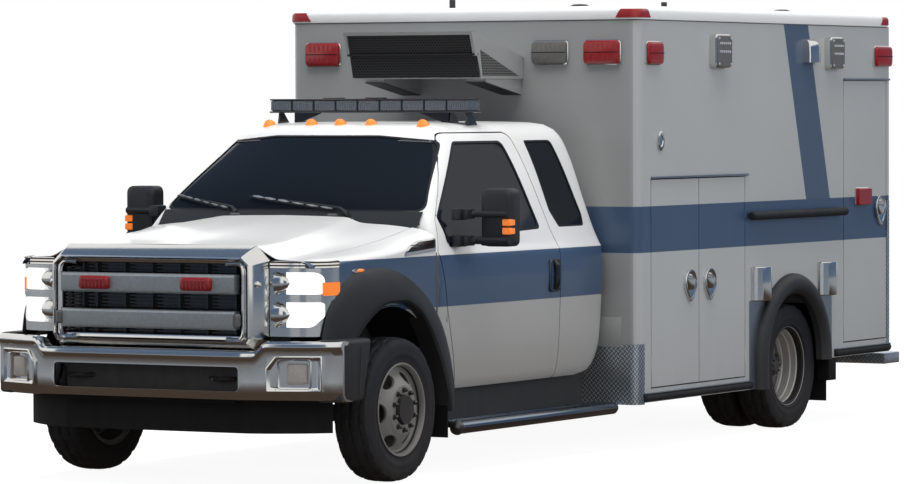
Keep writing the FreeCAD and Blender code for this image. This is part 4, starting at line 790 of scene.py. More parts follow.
# Gaskets: black rubber strips round the panes, pressed in along each opening's edge, so they
# are drawn from the same skin as the panels.
seal_sheet = thick(cab_skin(-0.0025, 1.2), 0.009)
seal_fixed = sawn(sawn(seal_sheet.copy(), joined(screen_tool(0.004),
    mirrored(side_tool(grown_outline(quarter_edge, 0.004)))), "INTERSECT"),
    joined(screen_tool(-0.01), mirrored(side_tool(grown_outline(quarter_edge, -0.01)))))
piece("cab_gaskets", seal_fixed, rubber, "black_rubber")
seal_door = sawn(sawn(seal_sheet, side_tool(grown_outline(window_edge, 0.004)), "INTERSECT"),
    side_tool(grown_outline(window_edge, -0.014)))
on_both_doors(("door_gasket_", seal_door, rubber, "black_rubber"))

# Front clip: hood and fenders are pressed sheet whose surfaces run into each other. A raised
# middle falls to a shoulder on each side and widens towards the nose.
# A station is Y, then half of the section as (X, Z) from the middle outwards and down.
clip_stations = ((-0.78, ((0, 1.338), (0.6, 1.332), (0.668, 1.298), (0.75, 1.262), (0.895, 1.252),
    (0.94, 1.222), (0.944, 1.15), (0.944, 0.478))), (-0.56, ((0, 1.356), (0.6, 1.345), (0.68, 1.312),
    (0.78, 1.28), (0.945, 1.266), (1.0, 1.235), (1.003, 1.16), (1.003, 0.478))),
    (0.0, ((0, 1.422), (0.53, 1.408), (0.65, 1.372), (0.79, 1.335), (0.95, 1.302), (1.002, 1.262),
    (1.004, 1.19), (1.003, 0.478))), (0.54, ((0, 1.473), (0.4, 1.466), (0.52, 1.434), (0.7, 1.426),
    (0.9, 1.402), (1.003, 1.345), (1.005, 1.27), (1.003, 0.478))),)
CLIP_PARTS = (7, 6, 6, 6, 6, 4, 8)
CLIP_ROWS = 36


def along_curve(corners, spots, spot):
    return [eased([corner[axis] for corner in corners], spots, spot) for axis in range(len(corners[0]))]


def clip_section(y):
    """The left half of the section at y."""
    station_ys = [station[0] for station in clip_stations]
    corners = [along_curve([station[1][k] for station in clip_stations], station_ys, y)
        for k in range(len(clip_stations[0][1]))]
    spots = [0.0]
    for first, second in zip(corners, corners[1:]):
        spots.append(spots[-1] + math.dist(first, second))
    points = []
    for k, parts in enumerate(CLIP_PARTS):
        for step in range(parts):
            x, z = along_curve(corners, spots, spots[k] + (spots[k + 1] - spots[k]) * step / parts)
            points.append(Vector((x, y + axle_y, z)))
    return points + [Vector((corners[-1][0], y + axle_y, corners[-1][1]))]


def clip_row(j):
    left = clip_section(-0.778 + (0.511 + 0.778) * j / CLIP_ROWS)
    return [Vector((-p.x, p.y, p.z)) for p in left[:0:-1]] + left


clip_rows = [clip_row(j) for j in range(CLIP_ROWS + 1)]
clip_skin = thick(grid_piece(len(clip_rows[0]) - 1, CLIP_ROWS, lambda i, j: clip_rows[j][i]), 0.004)
hood_skin = sawn(clip_skin.copy(), stock((-0.847, 0.847), (-0.9, 0.496), (1.0, 1.6)), "INTERSECT")


def circle(count):
    """(cosine, sine) of count even steps round."""
    return [(math.cos(math.tau * k / count), math.sin(math.tau * k / count)) for k in range(count)]


arch_circle = [(0.575 * c, WHEEL_Z + 0.575 * s) for c, s in circle(72)]
fender_skin = sawn(clip_skin, stock((0.851, 1.1), (-0.9, 0.5105), (0.45, 1.6)), "INTERSECT")
for tool in (slab(arch_circle, side_place, *SAW_X), stock((0.5, 1.1), (-0.62, 0.1), (0.4, 0.8)),
        stock((0.5, 1.1), (-0.9, -0.56), (0.4, 1.214))):
    fender_skin = sawn(fender_skin, tool)
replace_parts(piece("hood_panel", hood_skin, cab_paint, "cab_paint", "hood"), "hood")
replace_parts(piece("fender_panels", mirrored(fender_skin), cab_paint, "cab_paint"), "fenders")


def swept(rings, closed=False):
    """A skin through rings of points; open rows get flat ends."""
    around, count = len(rings[0]), len(rings)
    shape = grid_piece(around, count if closed else count - 1, lambda i, j: rings[j % count][i % around])
    if not closed:
        bmesh.ops.holes_fill(shape, edges=[edge for edge in shape.edges if len(edge.link_faces) == 1])
    bmesh.ops.recalc_face_normals(shape, faces=shape.faces)
    return shape


def frames_along(path, closed=False):
    """For each point of a path: the point and two directions across it, free of twist."""
    points = [Vector(point) for point in path]
    count = len(points)
    result = []
    across = None
    for k, point in enumerate(points):
        before = points[(k - 1) % count] if closed or k else point
        after = points[(k + 1) % count] if closed or k < count - 1 else point
        ahead = (after - before).normalized()
        if across is None:
            across = ahead.orthogonal().normalized()
        across = (across - ahead * across.dot(ahead)).normalized()
        result.append((point, across, ahead.cross(across)))
    return result


def tube(path, radius, sides=8, closed=False):
    """A round bar along a path; radius may be a list, one for each point."""
    sizes = radius if isinstance(radius, (list, tuple)) else [radius] * len(path)
    rings = [[point + (one * c + two * s) * size for c, s in circle(sides)] for (point, one, two),
        size in zip(frames_along(path, closed), sizes)]
    return swept(rings, closed)


def turned(profile, place, steps=32):
    """A solid turned from (radius, along) points; place(a, b, along) stands each point."""
    rings = [[place(radius * c, radius * s, along) for c, s in circle(steps)] for radius, along in profile]
    return swept(rings)


def smooth_path(points, parts):
    """Evenly eased points through the given ones, parts to each length."""
    spots = [0.0]
    for first, second in zip(points, points[1:]):
        spots.append(spots[-1] + math.dist(first, second))
    total = len(points) * parts
    return [along_curve(points, spots, spots[-1] * k / total) for k in range(total + 1)]


# Front flares: broad moulded lips of grained black plastic over each wheel, which run from the
# bumper's end up over the tyre and down behind it, with a rolled inner edge.
flare_outer = [(0.985, -0.722, 0.815), (0.992, -0.685, 0.945), (0.998, -0.607, 1.06), (1.002, -0.48, 1.147),
    (1.003, -0.33, 1.192), (1.003, -0.121, 1.201), (1.004, 0.101, 1.162), (1.006, 0.285, 1.086),
    (1.012, 0.43, 0.988), (1.022, 0.528, 0.868), (1.034, 0.604, 0.662), (1.04, 0.63, 0.487),
    (1.038, 0.612, 0.365)]
flare_inner = [(1.06, -0.415, 0.815), (1.06, -0.358, 0.87), (1.06, -0.24, 0.948), (1.06, -0.088, 1.001),
    (1.06, 0.066, 1.003), (1.06, 0.222, 0.952), (1.072, 0.345, 0.84), (1.088, 0.45, 0.64),
    (1.094, 0.505, 0.47), (1.088, 0.526, 0.365)]


def flare_ring(outer, inner):
    """The closed section between an outer and an inner point, bulged outwards."""
    ring = []
    for t, x in ((0.0, 0.0), (0.04, 0.012), (0.14, 0.026), (0.34, 0.042), (0.58, 0.054), (0.8, 0.061),
            (0.93, 0.06), (1.0, 0.048), (1.0, 0.02), (0.99, -0.06), (0.95, -0.06), (0.93, 0.02),
            (0.6, 0.016), (0.1, -0.012)):
        middle = outer.lerp(inner, t)
        ring.append(Vector((outer.x + x, middle.y + axle_y, middle.z)))
    return ring


outer_path = [Vector(point) for point in smooth_path(flare_outer, 4)]
inner_path = [Vector(point) for point in smooth_path(flare_inner, 4)]
flare_rings = []
for k, outer in enumerate(outer_path):
    share = k / (len(outer_path) - 1) * (len(inner_path) - 1)
    low = min(len(inner_path) - 2, int(share))
    flare_rings.append(flare_ring(outer, inner_path[low].lerp(inner_path[low + 1], share - low)))
front_flare = swept(flare_rings)

# Front wheel liners: black plastic sheet, bent to follow the tyre and fixed inside the fender,
# with a flat splash panel behind.
liner_ring = []
for degrees in range(-8, 181, 7):
    turn = math.radians(degrees)
    y = 0.578 * math.cos(turn)
    z = WHEEL_Z + 0.578 * math.sin(turn)
    if y < 0.5 and y > -0.5:
        liner_ring.append((y, z))
liner_ring += [(-0.44, 0.815)]
liner = thick(grid_piece(len(liner_ring) - 1, 1, lambda i, j: side_place(*liner_ring[i],
    0.62 if j else 1.004)), 0.004)
splash = stock((0.62, 1.07), (0.52, 0.53), (0.215, 0.72))
piece("wheel_liners", mirrored(joined(liner, splash)), deep_black, "black_plastic")

# Rear flares: black rubber, half round outside and flat behind, bent round the module's wheel
# opening and fixed against its side.
rear_arch_y, rear_arch_z = 4.785, 0.462


def arch_path(radius, front_low, rear_low):
    """(Y, Z) points over the rear wheel: a half round on two straight legs."""
    points = [(rear_arch_y + radius, rear_low + (rear_arch_z - rear_low) * k / 3) for k in range(3)]
    points += [(rear_arch_y + radius * math.cos(math.pi * k / 36), rear_arch_z + radius
        * math.sin(math.pi * k / 36)) for k in range(37)]
    return points + [(rear_arch_y - radius, rear_arch_z + (front_low - rear_arch_z) * k / 4)
        for k in range(1, 5)]


rear_path = arch_path(0.48, 0.285, 0.43)
rear_rings = []
for k, (y, z) in enumerate(rear_path):
    out = Vector((y - rear_arch_y, max(0.0, z - rear_arch_z))).normalized()
    ring = []
    for along, x in ((0.066, 1.223), (0.064, 1.243), (0.052, 1.262), (0.028, 1.276), (0.0, 1.281),
            (-0.028, 1.277), (-0.052, 1.264), (-0.066, 1.244), (-0.068, 1.205), (-0.06, 1.205),
            (-0.056, 1.223)):
        ring.append(Vector((x, y + out.x * along + axle_y, z + out.y * along)))
    rear_rings.append(ring)
rear_flare = swept(rear_rings)

# Bumper end caps: moulded in black plastic, wrapped round behind the chrome, each with a
# shallow groove.
cap_outline = [(1.02, -0.8), (1.118, -0.752), (1.134, -0.64), (1.134, -0.47), (1.09, -0.462), (1.06, -0.462),
    (1.02, -0.7)]
cap_rings = []
for z, pull in ((0.487, 0.016), (0.495, 0.004), (0.505, 0.0), (0.8, 0.0), (0.812, 0.002), (0.822, 0.01),
        (0.826, 0.026)):
    shift = 0.09 * (z - 0.487) / 0.34 - 0.05
    cap_rings.append([Vector((x - pull, y + axle_y + (shift if y > -0.5 else 0), z))
        for x, y in rounded_outline(cap_outline, 0.02, 4)])
end_cap = swept(cap_rings)
groove = tube([(1.1335, axle_y - 0.565, 0.52), (1.1345, axle_y - 0.545, 0.78)], 0.006, 6)
end_cap = joined(end_cap, groove)
mouldings = mirrored(joined(front_flare, rear_flare, end_cap))
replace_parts(piece("flares", mouldings, black_plastic, "black_plastic"), "wheel_flares")

# Cowl: a moulded panel of black plastic that closes the gap between the hood's rear edge and
# the foot of the screen.
def cowl_point(i, j):
    x = -0.872 + 1.744 * i / 28
    section = clip_section(0.496)
    rear_z = max(point.z for point in section)
    for first, second in zip(section, section[1:]):
        if first.x <= abs(x) <= second.x:
            rear_z = first.lerp(second, (abs(x) - first.x) / max(1e-6, second.x - first.x)).z
    near = at(x, 0.504, rear_z - 0.016)
    far = Vector((x, axle_y + 0.546 + 0.056 * (x / 0.918) ** 2, 1.493))
    t = (0, 0.35, 0.7, 1.0)[j]
    lift = (0, 0.004, 0.003, 0.0)[j]
    return near.lerp(far, t) + Vector((0, 0, lift))


piece("cowl", thick(grid_piece(28, 3, cowl_point), 0.004), black_plastic, "black_plastic")


# Wipers: two black arms that turn in the cowl, each with a rubber blade held on the screen by
# jointed steel bridges.
def on_screen(x, z, off):
    """The point of the screen at x, z, moved off its surface."""
    y_middle, y_side = [eased([level[k] for level in cab_levels], level_heights, z) for k in (3, 4)]
    half_width = eased([level[1] for level in cab_levels], level_heights, z)
    y = y_middle + (y_side - y_middle) * (x / half_width) ** 2
    return Vector((x, y + axle_y - off * 0.67, z + off * 0.74))


wipers = []
blades = []
for root, tip in ((0.42, -0.29), (-0.33, -0.83)):
    reach = tip - root
    arm = [at(root, 0.53, 1.462), at(root, 0.512, 1.484)]
    arm += [on_screen(root + reach * t, 1.486 + 0.075 * t, 0.026) for t in (0.1, 0.3, 0.5, 0.6)]
    wipers.append(tube(arm, [0.016, 0.014, 0.008, 0.007, 0.006, 0.005], 8))
    blade = [on_screen(root + reach * t, 1.478 + 0.085 * t, 0.012)
        for t in [0.14 + 0.86 * k / 10 for k in range(11)]]
    wipers.append(tube(blade, 0.006, 6))
    for t in (0.22, 0.36, 0.5, 0.64, 0.78, 0.9):
        spine = [on_screen(root + reach * (t + d), 1.478 + 0.085 * (t + d), 0.024)
            for d in (-0.055, 0.0, 0.055)]
        blades.append(tube(spine, [0.004, 0.008, 0.004], 6))
piece("wipers", joined(*wipers), black_plastic, "black_plastic")
piece("wiper_bridges", joined(*blades), galvanised, "chassis_steel")

# Fender vents: a dark mesh in a bright moulded rim, which is pointed at its front and let into
# the fender's side, whose curve it follows.
def on_fender(y, z, off):
    """The point of the fender's side at y, z, moved outwards."""
    section = [point for point in clip_section(y) if point.x > 0.86]
    for first, second in zip(section, section[1:]):
        if first.z >= z >= second.z:
            t = (first.z - z) / max(1e-6, first.z - second.z)
            return Vector((first.x + (second.x - first.x) * t + off, y + axle_y, z + off * 0.3))
    return Vector((section[0].x + off, y + axle_y, z))


vent_outline = [(0.15, 1.252, 0.02), (0.504, 1.272, 0.01), (0.504, 1.346, 0.01), (0.33, 1.336, 0.1),
    (0.215, 1.306, 0.06), (0.16, 1.276, 0.03)]
vent_inner = [(0.182, 1.272, 0.012), (0.496, 1.292, 0.006), (0.496, 1.338, 0.006), (0.332, 1.328, 0.08),
    (0.228, 1.3, 0.05), (0.19, 1.283, 0.02)]
outer_line = rounded_outline(vent_outline, 0.02)
inner_line = rounded_outline(vent_inner, 0.01)
rim_rings = [[on_fender(y, z, off) for y, z in line] for line, off in ((outer_line, -0.003),
    (outer_line, 0.004), (inner_line, 0.006), (inner_line, -0.003))]
piece("fender_vents", mirrored(swept(rim_rings, closed=True)), chrome, "cab_paint")
vent_middle = Vector((0.36, 1.305))
mesh_rings = []
for size in (1.0, 0.75, 0.5, 0.25, 0.03):
    mesh_rings.append([on_fender(*(vent_middle.lerp(Vector(point), size)), 0.003) for point in inner_line])
louvres = [tube([on_fender(y, z + 0.02 * (y - 0.3), 0.005) for y in (0.24, 0.32, 0.4, 0.48)], 0.0025, 6)
    for z in (1.288, 1.3, 1.312)]
piece("fender_vent_mesh", mirrored(joined(swept(mesh_rings), *louvres)), gloss_black, "black_plastic")

# Side markers: small lenses moulded in amber plastic, each in a bright base on the fender's
# front end.
marker = turned([(0.001, 0.016), (0.5, 0.014), (0.85, 0.008), (1.0, -0.002)],
    lambda a, b, c: Vector((1.0 + c, axle_y - 0.338 + 0.052 * a, 1.19 + 0.0125 * b)), 20)
piece("side_markers", mirrored(marker), amber_lens, "amber_lens")
marker_base = turned([(0.001, 0.01), (0.9, 0.008), (1.0, -0.002)],
    lambda a, b, c: Vector((1.0 + c, axle_y - 0.35 + 0.072 * a, 1.19 + 0.016 * b)), 20)
piece("side_marker_bases", mirrored(marker_base), chrome, "bright_chrome")

# Grille surround: a deep chromed frame with cut corners. Its outer faces run forward to a sharp
# ridge, and a stepped lip leads back to the black core.
ring_corners = [(-0.654, 0.745), (0.654, 0.745), (0.703, 0.82), (0.703, 1.257), (0.612, 1.335),
    (-0.612, 1.335), (-0.703, 1.257), (-0.703, 0.82)]
frame_rings = []
for inset, y in ((0.0, -0.779), (0.003, -0.8), (0.034, -0.868), (0.052, -0.905), (0.06, -0.915),
        (0.068, -0.917), (0.074, -0.909), (0.078, -0.89), (0.088, -0.886), (0.096, -0.884), (0.101, -0.876),
        (0.103, -0.8), (0.098, -0.782)):
    outline = rounded_outline(grown_outline(ring_corners, -inset), 0.014, 3)
    frame_rings.append([front_place(x, z, y) for x, z in outline])
surround = swept(frame_rings, closed=True)
apron = softened(stock((-0.64, 0.64), (-0.88, -0.8), (0.715, 0.765)), 0.006)

# Bar brackets: chromed bar, bent like a C, which holds the bars' ends; a round bolt sits on
# each outer face.
bracket = [(0.49, 1.236), (0.56, 1.24), (0.59, 1.226), (0.6, 1.19), (0.6, 1.02), (0.6, 0.87), (0.59, 0.836),
    (0.56, 0.822), (0.49, 0.826)]
bracket_path = [front_place(x, z, -0.9) for x, z in smooth_path(bracket, 3)]
bracket_bar = tube(bracket_path, 0.013, 10)
bolt = turned([(0.001, 0.01), (0.01, 0.009), (0.016, 0.003), (0.018, -0.004)],
    lambda a, b, c: front_place(0.672 + a + c * 0.8, 1.127 + b, -0.875 + a * 0.9 - c * 0.5), 16)
grille_piece = piece("grille_frame", joined(surround, apron, mirrored(joined(bracket_bar, bolt))), chrome,
    "bright_chrome")
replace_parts(grille_piece, "grille")

# Two galvanised cross bars, the upper one with a red lamp towards each end, the lower one with
# an oval knob at each end.
def pressed(outline, place, steps, radius=0.02, corner_steps=4):
    """A block whose outline draws in with its depth: steps are (inset, depth) pairs."""
    return swept([[place(u, v, w) for u, v in rounded_outline(grown_outline(outline, -inset), radius,
        corner_steps)] for inset, w in steps])


def box_outline(low_u, high_u, low_v, high_v):
    return [(low_u, low_v), (high_u, low_v), (high_u, high_v), (low_u, high_v)]


bars = []
for low, high in ((1.073, 1.181), (0.878, 0.982)):
    bar_rings = []
    for k in range(17):
        x = -0.565 + 1.13 * k / 16
        bow = -0.012 * (1 - (x / 0.565) ** 2)
        bar_rings.append([Vector((x, axle_y + y + bow, z)) for y, z in ((-0.886, low + 0.004), (-0.936, low),
            (-0.944, low + 0.008), (-0.946, low + 0.02), (-0.946, high - 0.016), (-0.941, high - 0.005),
            (-0.931, high), (-0.886, high - 0.002))])
    bars.append(swept(bar_rings))
piece("grille_bars", joined(*bars), galvanised, "bright_chrome", smooth=24)
knob = pressed(box_outline(0.56, 0.596, 0.893, 0.968), front_place, ((0.0, -0.925), (0.0, -0.95),
    (0.004, -0.958), (0.01, -0.962)), 0.018, 5)
piece("bar_knobs", mirrored(knob), dull_lens, "bright_chrome")
bar_lamps = []
for side in (-1, 1):
    low_x, high_x = (0.232, 0.428) if side > 0 else (-0.432, -0.236)
    bar_lamps.append(pressed(box_outline(low_x, high_x, 1.09, 1.163), front_place,
        ((0.0, -0.95), (0.0, -0.968), (0.004, -0.978), (0.012, -0.984), (0.024, -0.986)), 0.02, 5))
    for k in range(7):
        x = low_x + 0.026 + 0.024 * k
        bar_lamps.append(tube([front_place(x, z, -0.984) for z in (1.102, 1.151)], 0.004, 6))
    for z in (1.114, 1.139):
        bar_lamps.append(tube([front_place(x, z, -0.984) for x in (low_x + 0.02, high_x - 0.02)], 0.003, 6))
piece("bar_lamps", joined(*bar_lamps), red_lens, "red_lens")

# Grille core: a black plastic moulding behind the bars, with level louvres that upright ribs
# stiffen.
core_parts = [stock((-0.62, 0.62), (-0.77, -0.745), (0.76, 1.3))]
for k in range(24):
    z = 0.792 + 0.0196 * k
    core_parts.append(stock((-0.6, 0.6), (-0.8, -0.77), (z, z + 0.008)))
for x in (-0.5, -0.41, -0.225, -0.045, 0.135, 0.315, 0.5):
    core_parts.append(stock((x - 0.005, x + 0.005), (-0.822, -0.77), (0.78, 1.27)))
core_piece = piece("louvres", joined(*core_parts), gloss_black, "black_plastic")
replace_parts(core_piece, "grille_core")

# Headlamps: a chromed bezel wrapped round the corner, two stacked windows with cone-shaped
# reflectors inboard, a ribbed strip on top and an amber lamp at the side.
lamp_plan = smooth_path([(0.706, -0.8), (0.8, -0.792), (0.89, -0.772), (0.955, -0.728), (0.992, -0.66),
    (1.0045, -0.562)], 6)


def lamp_sheet(off, low, high, rows=4, rib=0.0, start=0, end=None):
    """A sheet that follows the lamp's plan, moved off along its normal."""
    plan = [Vector(point) for point in lamp_plan][start:end]

    def place(i, j):
        ahead = (plan[min(i + 1, len(plan) - 1)] - plan[max(i - 1, 0)]).normalized()
        out = Vector((ahead.y, -ahead.x)) * (off + (rib if i % 2 else 0.0))
        if j % 2 and rib:
            out = out * 0.4
        return Vector((plan[i].x + out.x, plan[i].y + out.y + axle_y, low + (high - low) * j / rows))
    return grid_piece(len(plan) - 1, rows, place)


bezel = thick(lamp_sheet(0.0, 0.842, 1.214), 0.03)
upper_window = [(0.728, 1.072, 0.012), (0.985, 1.072, 0.02), (0.985, 1.194, 0.05), (0.728, 1.194, 0.012)]
lower_window = [(0.728, 0.892, 0.012), (0.945, 0.892, 0.05), (0.985, 0.95, 0.04), (0.985, 1.03, 0.02),
    (0.728, 1.03, 0.012)]
windows = joined(*[slab(rounded_outline(points, 0.02), front_place, -0.95, -0.55)
    for points in (upper_window, lower_window)])
bezel = sawn(bezel, windows.copy())
backing = thick(lamp_sheet(-0.034, 0.86, 1.205), 0.004)
cones = []
for low, high in ((0.896, 1.026), (1.076, 1.19)):
    z = (low + high) / 2
    size = (high - low) / 2
    for thin in (1.0, 0.55):
        cones.append(turned([(size, 0.712), (size * 0.96, 0.742), (size * 0.8, 0.778), (size * 0.45, 0.806),
            (0.002, 0.818)], lambda a, b, c: Vector((c, axle_y - 0.775 + a * 0.45 * thin, z + b * thin)),
            20))
strip = thick(lamp_sheet(0.003, 1.216, 1.251, 4, 0.005), 0.01)
divider = thick(lamp_sheet(0.004, 1.04, 1.062, 2), 0.006)
lamp_body = joined(bezel, backing, strip, divider, *cones)
headlamp_piece = piece("headlamp_bezels", mirrored(lamp_body), chrome, "bright_chrome")
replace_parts(headlamp_piece, "headlamps")
window_lens = sawn(thick(lamp_sheet(-0.014, 0.87, 1.205), 0.006), windows, "INTERSECT")
window_lens = sawn(window_lens, block((0.797, 1.1), (axle_y - 1, axle_y), (0.8, 1.3)), "INTERSECT")
piece("headlamp_windows", mirrored(window_lens), lamp_white, "clear_lens")
amber = thick(lamp_sheet(0.006, 1.064, 1.136, 2, 0.0, -12), 0.01)
piece("corner_ambers", mirrored(amber), amber_lens, "amber_lens")

# Bumper: a bowed chromed channel with a rolled top edge that rises towards the ends, a slot for
# the tow hooks and a slanted recess with a fog lamp at each side.
def bumper_front_y(x):
    return eased((-0.992, -0.991, -0.984, -0.958, -0.905, -0.828, -0.79, -0.75),
        (0.0, 0.35, 0.6, 0.7, 0.86, 1.035, 1.1, 1.128), abs(x))


def bumper_top(x):
    t = max(0.0, min(1.0, (abs(x) - 0.685) / 0.075))
    return 0.768 + 0.054 * t * t * (3 - 2 * t)


bumper_xs = sorted({round(side * x, 4) for side in (-1, 1) for x in [0.56 * k / 12 for k in range(13)]
    + [0.6, 0.63, 0.66, 0.68, 0.69, 0.7, 0.71, 0.72, 0.73, 0.74, 0.75, 0.76, 0.78, 0.82, 0.86, 0.9, 0.94,
    0.98, 1.01, 1.035, 1.06, 1.08, 1.1, 1.115, 1.128]})
bumper_rings = []
for x in bumper_xs:
    y, top = bumper_front_y(x) + axle_y, bumper_top(x)
    bumper_rings.append([Vector((x, y + off, z)) for off, z in ((0.12, top - 0.014), (0.055, top - 0.003),
        (0.03, top), (0.014, top - 0.004), (0.004, top - 0.014), (0.0, top - 0.03), (0.003, top - 0.044),
        (0.013, top - 0.056), (0.016, top - 0.08), (0.015, 0.6), (0.016, 0.545), (0.021, 0.52), (0.034, 0.5),
        (0.056, 0.489), (0.12, 0.488), (0.12, 0.5), (0.06, 0.502), (0.044, 0.512), (0.034, 0.535),
        (0.032, 0.6), (0.032, top - 0.08), (0.03, top - 0.05), (0.034, top - 0.024), (0.12, top - 0.028))])
bar = swept(bumper_rings)
bar = sawn(bar, slab(rounded_outline(box_outline(-0.602, 0.602, 0.546, 0.68), 0.022), front_place, -1.1,
    -0.8))
slant_angle = 0.4
along = Vector((math.cos(slant_angle), math.sin(slant_angle), 0))
outward = Vector((math.sin(slant_angle), -math.cos(slant_angle), 0))
fog_middle = Vector((0.902, bumper_front_y(0.902) + axle_y + 0.014, 0.644))


def fog_place(u, v, w):
    return fog_middle + along * u + Vector((0, 0, v)) + outward * w


fog_outer = [(-0.152, -0.095), (0.15, -0.095), (0.15, 0.094), (-0.1, 0.094), (-0.152, 0.03)]
bar = sawn(bar, mirrored(slab(fog_outer, fog_place, -0.1, 0.06)))
tray = []
for outline, inset, w in ((fog_outer, -0.004, -0.03), (fog_outer, -0.004, 0.004), (fog_outer, 0.002, 0.008),
        (fog_outer, 0.018, -0.004), (fog_outer, 0.022, -0.005)):
    tray.append([fog_place(u, v, w) for u, v in rounded_outline(grown_outline(outline, -inset), 0.006, 2)])
five = len(tray[0])
hole = rounded_outline([(-0.088, -0.08), (0.09, -0.08), (0.09, 0.076), (0.0, 0.076), (-0.088, 0.076)], 0.012,
    2)
for inset, w in ((-0.006, -0.004), (0.0, 0.003), (0.004, 0.001), (0.012, -0.06), (0.04, -0.062)):
    tray.append([fog_place(u, v, w) for u, v in grown_outline(hole, -inset)])
fog_tray = swept(tray)
screws = [turned([(0.001, 0.006), (0.005, 0.005), (0.007, 0.0)],
    lambda a, b, c: fog_place(u + a, v + b, c - 0.001), 10) for u in (-0.1, 0.102) for v in (-0.088, 0.086)]
bumper_piece = piece("bumper_bar", joined(bar, mirrored(joined(fog_tray, *screws))), chrome, "bright_chrome",
    smooth=28)
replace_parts(bumper_piece, "bumper")
fog_lamp = pressed(box_outline(-0.04, 0.074, -0.058, 0.056), fog_place,
    ((0.0, -0.06), (0.0, -0.016), (0.004, -0.008), (0.012, -0.004)), 0.012, 4)
piece("fog_lamps", mirrored(fog_lamp), fog_lens, "clear_lens")

# Tow hooks: oval eyes forged in steel and painted black, on short shanks, which look out of
# the bumper's slot.
hooks = []
for side in (-1, 1):
    loop = [Vector((side * 0.465 + 0.088 * c, axle_y - 0.88 + 0.046 * s, 0.614 + 0.006 * s))
        for c, s in circle(28)]
    hooks.append(tube(loop, 0.0135, 8, closed=True))
    hooks.append(tube([at(side * 0.465, -0.84, 0.61), at(side * 0.465, -0.76, 0.61)], 0.02, 8))
piece("tow_hooks", joined(*hooks), gloss_black, "chassis_steel")

# Tyres: commercial radials with a blocky all-terrain tread, round shoulders and plain walls
# that bulge over the rim; the rear ones run in pairs.
TYRE_STEPS = 132
tyre_wall = [(0.252, 0.088), (0.262, 0.098), (0.268, 0.1035), (0.274, 0.1015), (0.3, 0.1105), (0.32, 0.113),
    (0.324, 0.1115), (0.345, 0.1125), (0.366, 0.1085), (0.382, 0.1025)]
TREAD = 22


def tread_depth(step, across):
    """How deep the tread is cut at a step round the tyre and a place from -1 to 1 across it."""
    wave = (step % 12) / 12
    for middle in (-0.62, 0.0, 0.62):
        if abs(across - middle - 0.05 * math.sin(math.tau * wave)) < 0.055:
            return 0.009
    lug = (step + (6 if abs(across) > 0.62 else 0) + round(across * 4)) % 6
    return 0.009 if lug == 0 else 0.0


def tyre_shape(place):
    rings = []
    for step in range(TYRE_STEPS):
        turn = math.tau * step / TYRE_STEPS
        section = [(radius, -x) for radius, x in tyre_wall]
        for k in range(TREAD + 1):
            across = -1 + 2 * k / TREAD
            radius = 0.4045 - 0.0125 * abs(across) ** 3.2
            if step % 6 != 5:
                radius -= tread_depth(step, across)
            section.append((radius, across * 0.098))
        section += [(radius, x) for radius, x in reversed(tyre_wall)]
        section += [(0.24, 0.08), (0.24, -0.08)]
        rings.append([place(radius * math.cos(turn), radius * math.sin(turn), x) for radius, x in section])
    return swept(rings, closed=True)


def wheel_place(middle_x, middle_y, side=1):
    return lambda a, b, x: Vector((side * (middle_x + x), axle_y + middle_y + a, WHEEL_Z + b))


# Front rims: pressed steel discs that bulge outwards, with six oval hand holes, a flat boss for
# ten black lug nuts and an open hub.
def rim_shape(profile, place, hole_radius, low, high):
    rim = swept([[place(radius * c, radius * s, x) for c, s in circle(72)] for radius, x in profile],
        closed=True)
    holes = []
    for k in range(6):
        turn = math.radians(4 + 60 * k)
        ahead, up = math.cos(turn), math.sin(turn)
        outline = [(hole_radius * ahead + 0.03 * c * ahead - 0.056 * s * up, hole_radius * up + 0.03 * c * up
            + 0.056 * s * ahead) for c, s in circle(20)]
        holes.append(slab(outline, place, low, high))
    return sawn(rim, joined(*holes))


def nut_ring(place, face, reach, length):
    nuts = []
    for k in range(10):
        turn = math.tau * (k + 0.5) / 10
        nuts.append(turned([(0.001, face + length + 0.003), (0.009, face + length),
            (0.0125, face + length - 0.004), (0.0125, face + 0.004), (0.017, face + 0.002),
            (0.017, face - 0.002)], lambda a, b, x: place(reach * math.cos(turn) + a,
            reach * math.sin(turn) + b, x), 10))
    return joined(*nuts)


front_profile = [(0.2605, 0.1), (0.263, 0.105), (0.26, 0.1095), (0.253, 0.108), (0.247, 0.1), (0.244, 0.085),
    (0.239, 0.066), (0.23, 0.058), (0.218, 0.06), (0.202, 0.072), (0.184, 0.088), (0.166, 0.101),
    (0.152, 0.108), (0.145, 0.114), (0.14, 0.118), (0.132, 0.1195), (0.09, 0.1195), (0.084, 0.117),
    (0.081, 0.11), (0.081, 0.09), (0.138, 0.102), (0.162, 0.09), (0.198, 0.06), (0.216, 0.048),
    (0.232, 0.046), (0.233, -0.095), (0.26, -0.104), (0.2605, -0.109), (0.256, -0.109), (0.244, -0.09),
    (0.24, 0.05), (0.252, 0.09)]
rear_profile = [(0.2605, 0.082), (0.263, 0.087), (0.26, 0.091), (0.253, 0.0895), (0.247, 0.082),
    (0.242, 0.06), (0.24, 0.044), (0.233, 0.038), (0.232, 0.004), (0.225, -0.003), (0.224, -0.05),
    (0.217, -0.057), (0.213, -0.084), (0.208, -0.09), (0.19, -0.086), (0.17, -0.084), (0.156, -0.088),
    (0.148, -0.096), (0.14, -0.0985), (0.09, -0.0985), (0.084, -0.101), (0.082, -0.11), (0.082, -0.123),
    (0.15, -0.112), (0.17, -0.098), (0.21, -0.102), (0.232, -0.098), (0.235, -0.1), (0.26, -0.101),
    (0.2605, -0.106), (0.24, -0.106), (0.2395, 0.03), (0.25, 0.07)]
